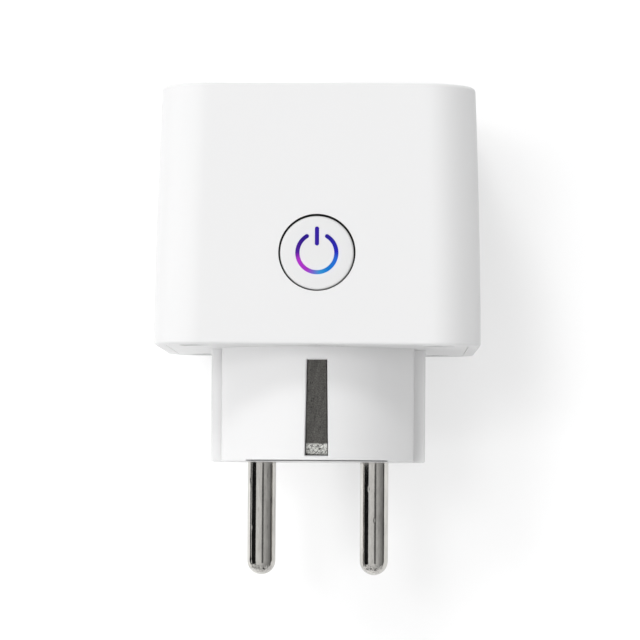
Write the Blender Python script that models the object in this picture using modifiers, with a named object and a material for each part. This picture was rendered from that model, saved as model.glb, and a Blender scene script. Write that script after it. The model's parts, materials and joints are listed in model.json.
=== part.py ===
"""Compact round-pin smart plug: socket in front, plug neck behind, push button on top.

Run with: blender --background --python part.py
The scene is in metres. The names and sizes below are in millimetres, and every helper
scales by MM. The origin is the centre of the plug's engagement face, between the pins.
+Y points along the pins into the wall, -Y out of the socket, +Z out of the button.
"""

import math

import bmesh
import bpy
from mathutils import Vector

MM = 0.001

# Ways, as unit vectors
ACROSS = (1, 0, 0)
WALL_WAY = (0, 1, 0)
ROOM_WAY = (0, -1, 0)
UP = (0, 0, 1)

# Casing
SOCKET_END = -61.6
BODY_END = -18.9
BODY_LENGTH = BODY_END - SOCKET_END
HALF_WIDTH = 26.85
TAPER = 1.05
TAPER_POWER = 1.6
CORNER_R = 8.0
CORNER_STEPS = 6
WALL = 2.0
SOCKET_EDGE_R = 0.7
PLUG_EDGE_R = 0.5
EDGE_STEPS = 3
GAP = 0.3

# Back cover, plug neck and pins
PLATE = 2.0
NECK_R = 18.3
NECK_HOLLOW_R = 14.5
NECK_FACE_WALL = 3.2
CREASE_X = 16.05
LEDGE_Z = 4.5
LEDGE_X = 18.0
GROOVE_Z = 2.75
GROOVE_X = 16.3
NECK_EDGE = 0.7
NECK_LIP = 0.95
PIN_PITCH = 19.0
PIN_X = PIN_PITCH / 2
PIN_R = 2.4
PIN_LENGTH = 19.0
PIN_FIT = 0.15

# Earth strips
STRIP_Z = 17.0
STRIP_THICK = 0.8
STRIP_START = -16.75
STRIP_NARROW = 3.12
STRIP_WIDE = 3.62
STRIP_SIDE_GAP = 0.2
CLIP_Z = 17.9
CLIP_THICK = 0.6
CLIP_WIDTH = 5.0

# Socket
RECESS_R = 19.75
RECESS_DEPTH = 17.5
RECESS_FLOOR = SOCKET_END + RECESS_DEPTH
FLOOR_THICK = 2.0
FLOOR_BACK = RECESS_FLOOR + FLOOR_THICK
CUP_R = 21.2
FLANGE_R = 23.4
RIB_X = 16.6
RIB_HALF = 2.3
PIN_HOLE_R = 2.75
CARRIER_SCREWS = ((-14.5, 11.0), (14.5, -11.0))
COVER_SCREWS = ((20.0, 20.0), (-20.0, 20.0), (-20.0, -20.0), (20.0, -20.0))
POST_R = 3.0
PILOT_R = 1.3
SCREW_HOLE_R = 1.45
SCREW_SEAT = -20.4
HEAD_ROOM_R = 2.5
PIVOT_R = 1.7
WING_HALF = 2.9
HUB_R = 4.6

# Levels along Y inside the casing
SHUTTER_FRONT = FLOOR_BACK + GAP
SHUTTER_THICK = 2.0
CARRIER_FRONT = -39.5
CARRIER_THICK = 1.2
SLEEVE_FRONT = -38.0
SLEEVE_BACK = -25.3
BOARD_FRONT = -23.8
BOARD_BACK = -22.2
ON_BOARD = BOARD_FRONT - GAP
PLATE_BACK = BODY_END - PLATE

# Button
BUTTON_Y = -33.75
BUTTON_TOP = 26.7
BUTTON_R = 6.0
BUTTON_GAP = 0.25
BUTTON_FLANGE_R = 7.0
RING_R = 3.16
STROKE = 0.62
RING_OPEN = math.radians(31)
BAR_FROM = 1.2
BAR_TO = 4.25
SYMBOL_FIT = 0.08
BUTTON_BOARD_TOP = 21.2
BUTTON_BOARD_THICK = 1.2
SWITCH_TOP = 22.9
PLUNGER_TOP = 23.5

# Relay
RELAY_Z = -10.8
RELAY_LENGTH = 18.4
RELAY_WIDTH = 10.2
RELAY_BASE_THICK = 1.2
RELAY_COVER_FRONT = -38.0
RELAY_WALL = 0.8
COIL_Y = -30.2
COIL_MIDDLE = -1.3
HINGE_X = 4.2
HINGE_Y = -26.4
CONTACT_Y = -35.6

# Finishes: colour, roughness, metallic
WHITE = ((0.90, 0.90, 0.90), 0.35, 0.0)
INNER_WHITE = ((0.84, 0.84, 0.83), 0.45, 0.0)
NICKEL = ((0.72, 0.71, 0.69), 0.22, 1.0)
BRASS = ((0.80, 0.62, 0.30), 0.30, 1.0)
COPPER = ((0.72, 0.36, 0.18), 0.35, 1.0)
STEEL = ((0.55, 0.55, 0.56), 0.35, 1.0)
IRON = ((0.40, 0.40, 0.42), 0.45, 1.0)
SYMBOL = ((0.18, 0.12, 0.60), 0.40, 0.0)
DIFFUSER = ((0.95, 0.95, 0.92), 0.50, 0.0)
BLACK = ((0.03, 0.03, 0.03), 0.50, 0.0)
FR4 = ((0.05, 0.22, 0.10), 0.50, 0.0)
RELAY_BLUE = ((0.05, 0.16, 0.45), 0.40, 0.0)
AMBER_TAPE = ((0.80, 0.55, 0.10), 0.40, 0.0)
FERRITE = ((0.10, 0.10, 0.11), 0.60, 0.0)
SLEEVE_DARK = ((0.06, 0.07, 0.12), 0.40, 0.0)
FILM_YELLOW = ((0.80, 0.62, 0.12), 0.45, 0.0)
VARISTOR_BLUE = ((0.10, 0.25, 0.62), 0.45, 0.0)
RESISTOR_GREEN = ((0.20, 0.42, 0.32), 0.55, 0.0)


def start_scene():
    """Empty scene with one collection for the parts and one for the cutters."""
    for obj in list(bpy.data.objects):
        bpy.data.objects.remove(obj, do_unlink=True)
    found = []
    for name in ("smart_plug", "cutters"):
        group = bpy.data.collections.new(name)
        bpy.context.scene.collection.children.link(group)
        found.append(group)
    return found


PARTS, CUTTERS = start_scene()


# ---- helpers ----


def scaled(point):
    return Vector(point) * MM


def aim(way):
    """Rotation that takes local +Z to the given way."""
    return Vector(UP).rotation_difference(Vector(way)).to_euler()


def place_object(name, mesh, place, way=UP):
    obj = bpy.data.objects.new(name, mesh)
    obj.location = scaled(place)
    obj.rotation_euler = aim(way)
    PARTS.objects.link(obj)
    return obj


def from_bmesh(name, bm, place, way=UP):
    mesh = bpy.data.meshes.new(name)
    bm.to_mesh(mesh)
    bm.free()
    return place_object(name, mesh, place, way)


def paint(obj, finish):
    colour, roughness, metallic = finish
    material = bpy.data.materials.new(obj.name)
    material.use_nodes = True
    shader = material.node_tree.nodes["Principled BSDF"]
    shader.inputs["Base Color"].default_value = (*colour, 1.0)
    shader.inputs["Roughness"].default_value = roughness
    shader.inputs["Metallic"].default_value = metallic
    obj.data.materials.append(material)
    return obj


def smooth(obj):
    obj.data.shade_smooth()
    obj.data.set_sharp_from_angle(angle=math.radians(35))
    return obj


def soften(obj, width, segments=2):
    """Rounded edges."""
    bevel = obj.modifiers.new("edges", "BEVEL")
    bevel.width = width * MM
    bevel.segments = segments
    bevel.limit_method = "ANGLE"
    bevel.angle_limit = math.radians(40)
    return obj


def as_tool(obj):
    """Makes an object a hidden helper for a Boolean."""
    PARTS.objects.unlink(obj)
    CUTTERS.objects.link(obj)
    obj.hide_render = True
    obj.display_type = "WIRE"


def combine(target, tools, operation):
    for tool in tools:
        as_tool(tool)
        boolean = target.modifiers.new(tool.name, "BOOLEAN")
        boolean.operation = operation
        boolean.solver = "EXACT"
        boolean.object = tool
    return target


def cut(target, *tools):
    return combine(target, tools, "DIFFERENCE")


def join(target, *tools):
    return combine(target, tools, "UNION")


def box(name, size, place, turn_y=0.0):
    bm = bmesh.new()
    bmesh.ops.create_cube(bm, size=1.0)
    bmesh.ops.scale(bm, vec=scaled(size), verts=bm.verts)
    obj = from_bmesh(name, bm, place)
    obj.rotation_euler.y = turn_y
    return obj


def span(name, low, high):
    """Box between two opposite corners."""
    size = [b - a for a, b in zip(low, high)]
    middle = [(a + b) / 2 for a, b in zip(low, high)]
    return box(name, size, middle)


def rod(name, radius, low, high, way=WALL_WAY, segments=24):
    """Cylinder between two points that lie along the way."""
    low, high = Vector(low), Vector(high)
    bm = bmesh.new()
    bmesh.ops.create_cone(
        bm,
        cap_ends=True,
        segments=segments,
        radius1=radius * MM,
        radius2=radius * MM,
        depth=(high - low).length * MM,
    )
    return smooth(from_bmesh(name, bm, (low + high) / 2, way))


def turned(name, profile, place, way=WALL_WAY, steps=24):
    """Solid of revolution: (radius, height) points that run down the outer side."""
    bm = bmesh.new()
    points = [bm.verts.new(scaled((radius, 0, height))) for radius, height in profile]
    closed = profile[0][0] > 0
    pairs = list(zip(points, points[1:]))
    if closed:
        pairs.append((points[-1], points[0]))
    for first, second in pairs:
        bm.edges.new((first, second))
    obj = from_bmesh(name, bm, place, way)
    screw = obj.modifiers.new("turn", "SCREW")
    screw.steps = steps
    screw.render_steps = steps
    screw.use_merge_vertices = True
    screw.merge_threshold = 0.00001
    screw.use_smooth_shade = False
    return obj


def curve_to_mesh(curve):
    """Mesh object in place of a curve object, its caps welded."""
    bpy.context.view_layer.update()
    graph = bpy.context.evaluated_depsgraph_get()
    mesh = bpy.data.meshes.new_from_object(curve.evaluated_get(graph))
    bm = bmesh.new()
    bm.from_mesh(mesh)
    bmesh.ops.remove_doubles(bm, verts=bm.verts, dist=0.000001)
    bmesh.ops.recalc_face_normals(bm, faces=bm.faces)
    bm.to_mesh(mesh)
    bm.free()
    name = curve.name
    curve.name = name + "_curve"
    obj = bpy.data.objects.new(name, mesh)
    obj.matrix_world = curve.matrix_world
    PARTS.objects.link(obj)
    bpy.data.objects.remove(curve)
    return obj


def spline_curve(name, points, cyclic):
    data = bpy.data.curves.new(name, "CURVE")
    spline = data.splines.new("POLY")
    spline.points.add(len(points) - 1)
    for item, point in zip(spline.points, points):
        item.co = (*scaled(point), 1.0)
    spline.use_cyclic_u = cyclic
    return data


def flat(name, outline, thickness, place, way=UP):
    """Outline of (x, y) points filled and given a thickness, half to each side."""
    data = spline_curve(name, [(x, y, 0) for x, y in outline], True)
    data.dimensions = "2D"
    data.fill_mode = "BOTH"
    data.extrude = thickness * MM / 2
    return curve_to_mesh(place_object(name, data, place, way))


def wire(name, points, radius, place=(0, 0, 0), way=UP):
    data = spline_curve(name, points, False)
    data.dimensions = "3D"
    data.bevel_depth = radius * MM
    data.bevel_resolution = 2
    data.use_fill_caps = True
    return curve_to_mesh(place_object(name, data, place, way))


def arc(radius, start, end, steps, centre=(0, 0)):
    """Points on an arc, both ends included, angles in radians."""
    turns = [start + (end - start) * step / steps for step in range(steps + 1)]
    return [
        (centre[0] + radius * math.cos(a), centre[1] + radius * math.sin(a))
        for a in turns
    ]


def rounded_path(points, radius, steps=3):
    """Path whose inner corners are replaced by arcs."""
    points = [Vector(point) for point in points]
    path = [points[0]]
    for before, corner, after in zip(points, points[1:], points[2:]):
        back = (before - corner).normalized()
        ahead = (after - corner).normalized()
        half = back.angle(ahead) / 2
        centre = corner + (back + ahead).normalized() * radius / math.sin(half)
        start = corner + back * radius / math.tan(half) - centre
        end = corner + ahead * radius / math.tan(half) - centre
        for step in range(steps + 1):
            ray = start.slerp(end, step / steps).normalized()
            path.append(centre + ray * radius)
    return path + [points[-1]]


def ribbon(name, path, across, widths, thickness, origin=(0, 0, 0)):
    """Bent sheet strip along a path, with one width at each point of the path."""
    bm = bmesh.new()
    sides = []
    for point, width in zip(path, widths):
        middle = Vector(point) - Vector(origin)
        reach = Vector(across) * width / 2
        sides.append(
            [bm.verts.new(scaled(middle - reach)), bm.verts.new(scaled(middle + reach))]
        )
    for (a, b), (c, d) in zip(sides, sides[1:]):
        bm.faces.new((a, b, d, c))
    bmesh.ops.recalc_face_normals(bm, faces=bm.faces)
    obj = from_bmesh(name, bm, origin)
    solidify = obj.modifiers.new("sheet", "SOLIDIFY")
    solidify.thickness = thickness * MM
    solidify.offset = 0.0
    solidify.use_even_offset = True
    return obj


def rounded_square(half, radius):
    """Ring of (x, z) points."""
    inner = half - radius
    ring = []
    for quarter, (side_x, side_z) in enumerate(((1, 1), (-1, 1), (-1, -1), (1, -1))):
        start = math.pi / 2 * quarter
        centre = (side_x * inner, side_z * inner)
        ring += arc(radius, start, start + math.pi / 2, CORNER_STEPS, centre)
    return ring


def loft(name, stations):
    """Closed body through rounded squares, each given as (y, half width, corner radius)."""
    bm = bmesh.new()
    rows = []
    for y, half, radius in stations:
        ring = rounded_square(half, radius)
        rows.append([bm.verts.new(scaled((x, y, z))) for x, z in ring])
    for row, following in zip(rows, rows[1:]):
        for a in range(len(row)):
            b = (a + 1) % len(row)
            bm.faces.new((row[a], row[b], following[b], following[a]))
    bm.faces.new(rows[0])
    bm.faces.new(rows[-1])
    bmesh.ops.recalc_face_normals(bm, faces=bm.faces)
    return from_bmesh(name, bm, (0, 0, 0))


# ---- casing ----


def body_half(y):
    """Half width of the casing: a gentle barrel taper towards the socket end."""
    along = min(max((y - SOCKET_END) / BODY_LENGTH, 0), 1)
    return HALF_WIDTH - TAPER * (1 - along) ** TAPER_POWER


def edge_stations(end, edge_r, inward):
    """Stations that round the casing's edge at one end, from the end face inwards."""
    stations = []
    for step in range(EDGE_STEPS + 1):
        angle = math.pi / 2 * step / EDGE_STEPS
        y = end + inward * edge_r * (1 - math.cos(angle))
        inset = edge_r * (1 - math.sin(angle))
        stations.append((y, body_half(y) - inset, CORNER_R - inset))
    return stations


def barrel_stations(low, high, inset, count):
    stations = []
    for step in range(count + 1):
        y = low + (high - low) * step / count
        stations.append((y, body_half(y) - inset, CORNER_R - inset))
    return stations


def make_outer_shell():
    middle = barrel_stations(SOCKET_END + 4, BODY_END - 4, 0, 4)
    stations = edge_stations(SOCKET_END, SOCKET_EDGE_R, 1) + middle
    stations += reversed(edge_stations(BODY_END, PLUG_EDGE_R, -1))
    shell = loft("outer_shell", stations)
    hollow = barrel_stations(SOCKET_END + WALL, BODY_END + 1, WALL, 4)
    cut(
        shell,
        loft("shell_hollow", hollow),
        rod(
            "socket_mouth",
            CUP_R + GAP,
            (0, SOCKET_END - 1, 0),
            (0, SOCKET_END + WALL + 1, 0),
            segments=48,
        ),
        rod(
            "button_hole",
            BUTTON_R + BUTTON_GAP,
            (0, BUTTON_Y, 22),
            (0, BUTTON_Y, 29),
            UP,
            segments=40,
        ),
    )
    post_start = SOCKET_END + WALL - 0.5
    post_end = PLATE_BACK - 1.2
    for index, (x, z) in enumerate(COVER_SCREWS):
        tag = f"_{index + 1}"
        turn = math.atan2(-z, x)
        reach = 0.5 * (abs(x) + 23.4)
        rib = box(
            "post_rib" + tag,
            (4.6, post_end - post_start, 1.6),
            (math.copysign(reach, x), (post_start + post_end) / 2, math.copysign(reach, z)),
            turn,
        )
        post = rod("post" + tag, POST_R, (x, post_start, z), (x, post_end, z), segments=16)
        deep = (x, -31, z)
        pilot = rod("pilot" + tag, PILOT_R, deep, (x, post_end + 1, z), segments=12)
        join(shell, rib, post)
        cut(shell, pilot)
    return paint(shell, WHITE)


def make_neck():
    """Round neck with a step at each side and a groove for the socket's guide rib."""
    neck = rod("neck", NECK_R, (0, BODY_END - 1, 0), (0, 0, 0), segments=56)
    soften(neck, NECK_EDGE, EDGE_STEPS)
    ledge = span("neck_ledge", (-LEDGE_X, BODY_END - 1, -LEDGE_Z), (LEDGE_X, 0, LEDGE_Z))
    soften(ledge, 0.4)
    for side, word in ((-1, "left"), (1, "right")):
        depth, height = 6.0, 2 * NECK_R
        side_cut = box(
            f"neck_side_{word}",
            (depth, 60, height),
            (side * (CREASE_X + depth / 2), 0, 0),
        )
        cut(neck, side_cut)
    join(neck, ledge)
    for side, word in ((-1, "left"), (1, "right")):
        depth = 6.0
        groove = box(
            f"neck_groove_{word}",
            (depth, 60, 2 * GROOVE_Z),
            (side * (GROOVE_X + depth / 2), 0, 0),
        )
        cut(neck, groove)
    return neck


def strip_channel(side):
    """Cutters for one earth strip: channel, tunnel to the inside, pocket behind the lip."""
    name = "top" if side > 0 else "bottom"
    floor = STRIP_Z - STRIP_THICK / 2 - GAP
    half = STRIP_WIDE / 2 + STRIP_SIDE_GAP
    tunnel_top = STRIP_Z + STRIP_THICK / 2 + 0.15
    spans = {
        "channel": ((-half, STRIP_START, floor), (half, -NECK_LIP, NECK_R + 1)),
        "tunnel": ((-half, PLATE_BACK - 1, floor), (half, STRIP_START + 0.5, tunnel_top)),
        "pocket": ((-half, -3.7, 12.3), (half, -NECK_LIP, floor + 1)),
    }
    tools = []
    for word, (low, high) in spans.items():
        lows = (low[0], low[1], min(side * low[2], side * high[2]))
        highs = (high[0], high[1], max(side * low[2], side * high[2]))
        tools.append(span(f"{word}_{name}", lows, highs))
    return tools


def make_back_cover():
    half = body_half(PLATE_BACK) - WALL - GAP
    radius = CORNER_R - WALL - GAP
    cover = loft("back_cover", [(PLATE_BACK, half, radius), (BODY_END, half, radius)])
    join(cover, make_neck())
    for index, (x, z) in enumerate(COVER_SCREWS):
        boss = rod(
            f"cover_boss_{index + 1}",
            POST_R,
            (x, PLATE_BACK - 0.9, z),
            (x, PLATE_BACK + 0.5, z),
            segments=16,
        )
        join(cover, boss)
    cut(
        cover,
        rod(
            "neck_hollow",
            NECK_HOLLOW_R,
            (0, PLATE_BACK - 1, 0),
            (0, -NECK_FACE_WALL, 0),
            segments=32,
        ),
    )
    for side, word in ((-1, "left"), (1, "right")):
        x = side * PIN_X
        cut(cover, rod(f"pin_hole_{word}", PIN_R + PIN_FIT, (x, -4, 0), (x, 1, 0)))
    cut(cover, *strip_channel(1), *strip_channel(-1))
    for index, (x, z) in enumerate(COVER_SCREWS):
        tag = f"_{index + 1}"
        outside = (x, BODY_END + 1, z)
        seat, inside = (x, SCREW_SEAT - GAP, z), (x, PLATE_BACK - 2, z)
        cut(
            cover,
            rod("head_room" + tag, HEAD_ROOM_R, seat, outside, segments=16),
            rod("screw_hole" + tag, SCREW_HOLE_R, inside, outside, segments=12),
        )
    return paint(cover, WHITE)


# ---- pins and earth path ----


def make_pin(name, x):
    """Round pin with a domed tip, a flange inside the neck and a solder tail."""
    dome = arc(PIN_R, math.pi / 2, 0, 5, (0, PIN_LENGTH - PIN_R))
    profile = dome + [
        (PIN_R, -3.5),
        (3.6, -3.5),
        (3.6, -5.0),
        (PIN_R, -5.0),
        (PIN_R, -20.0),
        (1.5, -20.6),
        (1.5, -24.6),
        (0, -24.6),
    ]
    profile[0] = (0, PIN_LENGTH)
    return paint(turned(name, profile, (x, 0, 0), WALL_WAY, 20), NICKEL)


def make_plug_earth_contact(name, side):
    """Plated strip in the neck's channel, its end bent inwards behind the neck's lip."""
    corners = [
        (0, -21.0, side * STRIP_Z),
        (0, -3.2, side * STRIP_Z),
        (0, -1.7, side * (STRIP_Z - 2.0)),
        (0, -1.7, side * 12.8),
    ]
    path = rounded_path(corners, 0.8)
    widths = []
    for point in path:
        along = (point.y - STRIP_START) / -STRIP_START
        widths.append(STRIP_NARROW + (STRIP_WIDE - STRIP_NARROW) * min(max(along, 0), 1))
    return paint(ribbon(name, path, ACROSS, widths, STRIP_THICK), NICKEL)


def make_earth_bridge():
    """Strap across the inside of the back cover that joins both earth strips."""
    corners = [
        (0, -26.0, CLIP_Z + 0.85),
        (0, -21.55, CLIP_Z + 0.85),
        (0, -21.55, -CLIP_Z - 0.85),
        (0, -26.0, -CLIP_Z - 0.85),
    ]
    path = rounded_path(corners, 0.6)
    return paint(ribbon("earth_bridge", path, ACROSS, [4.0] * len(path), 0.5), BRASS)


def make_socket_earth_clip(name, side):
    """Spring arm in the recess that the visiting plug's earth strip slides under."""
    heights = ((-22.1, 17.9), (-46.6, 17.9), (-52.4, 16.8), (-57.0, 18.2), (-58.8, 18.9))
    corners = [(0, y, side * z) for y, z in heights]
    path = rounded_path(corners, 2.0, 2)
    clip = ribbon(name, path, ACROSS, [CLIP_WIDTH] * len(path), CLIP_THICK)
    return paint(clip, NICKEL)


# ---- socket ----


def make_socket_insert():
    """Recess of the socket, with guide ribs, pin holes, bosses and the shutter's pivot."""
    profile = [
        (0, -RECESS_FLOOR),
        (RECESS_R - 0.4, -RECESS_FLOOR),
        (RECESS_R, -RECESS_FLOOR + 0.4),
        (RECESS_R, -SOCKET_END - 0.5),
        (RECESS_R + 0.5, -SOCKET_END),
        (CUP_R - 0.2, -SOCKET_END),
        (CUP_R, -SOCKET_END - 0.2),
        (CUP_R, -SOCKET_END - WALL - GAP),
        (FLANGE_R, -SOCKET_END - WALL - GAP),
        (FLANGE_R, -SOCKET_END - WALL - GAP - 1.5),
        (CUP_R, -SOCKET_END - WALL - GAP - 1.5),
        (CUP_R, -FLOOR_BACK),
        (0, -FLOOR_BACK),
    ]
    insert = turned("socket_insert", profile, (0, 0, 0), ROOM_WAY, 48)
    for side, word in ((-1, "left"), (1, "right")):
        low = min(side * RIB_X, side * (RECESS_R + 0.6))
        high = max(side * RIB_X, side * (RECESS_R + 0.6))
        rib = span(
            f"guide_rib_{word}",
            (low, SOCKET_END + 1.6, -RIB_HALF),
            (high, RECESS_FLOOR + 0.5, RIB_HALF),
        )
        join(insert, soften(rib, 0.4))
    back = (0, FLOOR_BACK - 0.5, 0)
    join(insert, rod("pivot", PIVOT_R, back, (0, -39.0, 0), segments=20))
    for index, (x, z) in enumerate(CARRIER_SCREWS):
        start, end = (x, FLOOR_BACK - 0.5, z), (x, CARRIER_FRONT - GAP, z)
        join(insert, rod(f"boss_{index + 1}", 2.6, start, end, segments=16))
        deep = (x, FLOOR_BACK - 0.6, z)
        cut(insert, rod(f"boss_pilot_{index + 1}", 1.1, deep, (x, -38, z), segments=12))
    slot = (2 * (CLIP_WIDTH / 2 + GAP), 4, CLIP_THICK + 2 * GAP)
    for side, word in ((-1, "left"), (1, "right")):
        x = side * PIN_X
        cut(insert, rod(f"entry_{word}", PIN_HOLE_R, (x, -46, 0), (x, -41, 0)))
    for side, word in ((-1, "bottom"), (1, "top")):
        cut(insert, box(f"clip_slot_{word}", slot, (0, -43.1, side * CLIP_Z)))
    return paint(insert, WHITE)


def make_contact_carrier():
    """Plate behind the shutter that holds it in and centres the contact sleeves."""
    back = CARRIER_FRONT + CARRIER_THICK
    carrier = rod(
        "contact_carrier", 20.4, (0, CARRIER_FRONT, 0), (0, back, 0), segments=32
    )
    middle = (CARRIER_FRONT + back) / 2
    for side, word in ((-1, "low"), (1, "high")):
        cut(carrier, box(f"carrier_flat_{word}", (44, 4, 8), (0, middle, side * 20.8)))
        x = side * PIN_X
        front, behind = (x, CARRIER_FRONT - 1, 0), (x, back + 1, 0)
        cut(carrier, rod(f"carrier_pin_hole_{word}", 3.0, front, behind))
    front, behind = (0, CARRIER_FRONT - 1, 0), (0, back + 1, 0)
    cut(carrier, rod("carrier_pivot_hole", PIVOT_R + GAP, front, behind, segments=20))
    for index, (x, z) in enumerate(CARRIER_SCREWS):
        front, behind = (x, CARRIER_FRONT - 1, z), (x, back + 1, z)
        cut(carrier, rod(f"carrier_hole_{index + 1}", 1.3, front, behind, segments=12))
    return paint(carrier, INNER_WHITE)


def make_contact_sleeve(name, x):
    """Split tube that grips a visiting pin, with two feet on the main board."""
    wall = [
        (2.75, -SLEEVE_FRONT),
        (3.2, -SLEEVE_FRONT),
        (3.2, -SLEEVE_BACK),
        (2.6, -SLEEVE_BACK),
        (2.6, -SLEEVE_FRONT - 1.0),
    ]
    sleeve = turned(name, wall, (x, 0, 0), ROOM_WAY, 24)
    for side in (-1, 1):
        foot = box(f"{name}_foot_{side + 2}", (2.0, 4.4, 0.7), (x, -26.3, side * 2.95))
        join(sleeve, foot)
    slit = box(name + "_slit", (8.0, 10.0, 0.8), (x, -33.8, 0))
    return paint(cut(sleeve, slit), BRASS)


def make_child_shutter():
    """Bar that covers both pin holes and turns aside about the pivot."""
    tip = arc(WING_HALF, -math.pi / 2, math.pi / 2, 6, (10.4, 0))
    root = math.asin((WING_HALF + 0.3) / HUB_R)
    hub = arc(HUB_R, root, math.pi - root, 6)
    half = tip + hub
    outline = half + [(-x, -y) for x, y in half]
    middle = SHUTTER_FRONT + SHUTTER_THICK / 2
    shutter = flat("child_shutter", outline, SHUTTER_THICK, (0, middle, 0), WALL_WAY)
    through, seat = (0, SHUTTER_FRONT - 1, 0), (0, middle + 2, 0)
    cut(
        shutter,
        rod("pivot_hole", PIVOT_R + PIN_FIT, through, seat, segments=20),
        rod("spring_seat", 3.5, (0, middle - 0.2, 0), seat, segments=20),
    )
    return paint(shutter, INNER_WHITE)


def make_shutter_spring():
    """Torsion spring round the pivot, in the shutter's seat."""
    turns, steps = 1.75, 12
    count = int(turns * steps)
    points = []
    for step in range(count + 1):
        angle = 2 * math.pi * step / steps
        height = 0.42 * step / steps
        points.append((2.6 * math.cos(angle), 2.6 * math.sin(angle), height))
    return paint(wire("shutter_spring", points, 0.16, (0, -40.65, 0), WALL_WAY), STEEL)


def make_screw(name, head, height, shank, length, place):
    """Pan head screw that points away from the wall, with a six-sided drive recess."""
    profile = [
        (0, height),
        (head - 0.35, height),
        (head, height - 0.35),
        (head, 0),
        (shank, 0),
        (shank, 0.6 - length),
        (0, -length),
    ]
    screw = turned(name, profile, place, WALL_WAY, 16)
    x, y, z = place
    drive = rod(
        name + "_drive",
        head / 2,
        (x, y + height - 0.7, z),
        (x, y + height + 1, z),
        segments=6,
    )
    return paint(cut(screw, drive), STEEL)


# ---- button ----


def symbol_ring(grow):
    """Outline of the power symbol's open ring, with round ends; +Y is the open side."""
    half = STROKE / 2 + grow
    start = math.pi / 2 + RING_OPEN
    end = math.pi / 2 - RING_OPEN + 2 * math.pi
    first = (RING_R * math.cos(start), RING_R * math.sin(start))
    last = (RING_R * math.cos(end), RING_R * math.sin(end))
    outline = arc(RING_R + half, start, end, 22)
    outline += arc(half, end, end + math.pi, 4, last)[1:-1]
    outline += arc(RING_R - half, end, start, 22)
    outline += arc(half, start + math.pi, start + 2 * math.pi, 4, first)[1:-1]
    return outline


def symbol_bar(grow):
    """Outline of the symbol's upright bar, with round ends."""
    half = STROKE / 2 + grow
    top = arc(half, 0, math.pi, 6, (0, BAR_TO - STROKE / 2))
    return top + arc(half, math.pi, 2 * math.pi, 6, (0, BAR_FROM + STROKE / 2))


def symbol_solids(word, grow, low, high):
    """Ring and bar as solids between two heights, their open side towards the socket."""
    solids = []
    for part, outline in (("ring", symbol_ring(grow)), ("bar", symbol_bar(grow))):
        turned_round = [(-x, -y) for x, y in outline]
        place = (0, BUTTON_Y, (low + high) / 2)
        solids.append(flat(f"{word}_{part}", turned_round, high - low, place))
    return solids


def make_button_cap():
    """Cup-shaped cap with a retaining flange and the symbol cut through its face."""
    profile = [
        (0, 0),
        (BUTTON_R - 0.3, 0),
        (BUTTON_R - 0.08, -0.09),
        (BUTTON_R, -0.3),
        (BUTTON_R, -2.4),
        (BUTTON_FLANGE_R, -2.4),
        (BUTTON_FLANGE_R, -3.2),
        (4.9, -3.2),
        (4.9, -1.4),
        (0, -1.4),
    ]
    cap = turned("button_cap", profile, (0, BUTTON_Y, BUTTON_TOP), UP, 40)
    slots = symbol_solids("slot", SYMBOL_FIT, BUTTON_TOP - 2, BUTTON_TOP + 1)
    return paint(cut(cap, *slots), WHITE)


def make_symbol_light_guide():
    """Clear disc under the cap whose raised ring and bar fill the symbol."""
    profile = [
        (0, -1.7),
        (4.5, -1.7),
        (4.5, -2.3),
        (1.2, -2.3),
        (1.2, -2.9),
        (0, -2.9),
    ]
    place = (0, BUTTON_Y, BUTTON_TOP)
    guide = turned("symbol_light_guide", profile, place, UP, 24)
    join(guide, *symbol_solids("symbol", 0, BUTTON_TOP - 2.0, BUTTON_TOP - 0.02))
    return paint(guide, SYMBOL)


def make_button_board():
    low = (-8.5, -41.5, BUTTON_BOARD_TOP - BUTTON_BOARD_THICK)
    board = span("button_board", low, (8.5, -24.4, BUTTON_BOARD_TOP))
    return paint(soften(board, 0.3, 1), FR4)


def make_tact_switch_body():
    bottom = BUTTON_BOARD_TOP + GAP
    low, high = (-2.25, BUTTON_Y - 2.25, bottom), (2.25, BUTTON_Y + 2.25, SWITCH_TOP)
    body = span("tact_switch_body", low, high)
    well = rod(
        "plunger_well", 1.1, (0, BUTTON_Y, 21.7), (0, BUTTON_Y, 24), UP, segments=20
    )
    return paint(cut(soften(body, 0.2, 1), well), BLACK)


def make_tact_switch_plunger():
    profile = [(0, 0), (0.75, 0), (0.95, -0.2), (0.95, -1.2), (0, -1.2)]
    place = (0, BUTTON_Y, PLUNGER_TOP)
    return paint(turned("tact_switch_plunger", profile, place, UP, 16), WHITE)


def make_indicator_led(name, x):
    place = (x, BUTTON_Y, BUTTON_BOARD_TOP + GAP + 0.35)
    return paint(soften(box(name, (0.9, 1.6, 0.7), place), 0.1, 1), DIFFUSER)


def make_light_collar():
    """Opaque collar that keeps the LEDs' light under the button."""
    low = BUTTON_BOARD_TOP + GAP
    profile = [(5.6, 22.7), (6.4, 22.7), (6.4, low), (5.6, low)]
    return paint(turned("light_collar", profile, (0, BUTTON_Y, 0), UP, 24), BLACK)


def make_board_link_header():
    """Pin header from the main board to the button board."""
    header = span("board_link_header", (-5.0, -26.4, 21.5), (5.0, ON_BOARD, 23.5))
    for index in range(4):
        x = -3.81 + 2.54 * index
        low, high = (x - 0.3, -27.1, 22.2), (x + 0.3, -26.0, 22.8)
        join(header, span(f"header_pin_{index + 1}", low, high))
    return paint(header, BLACK)


# ---- main board and its parts ----


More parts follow.
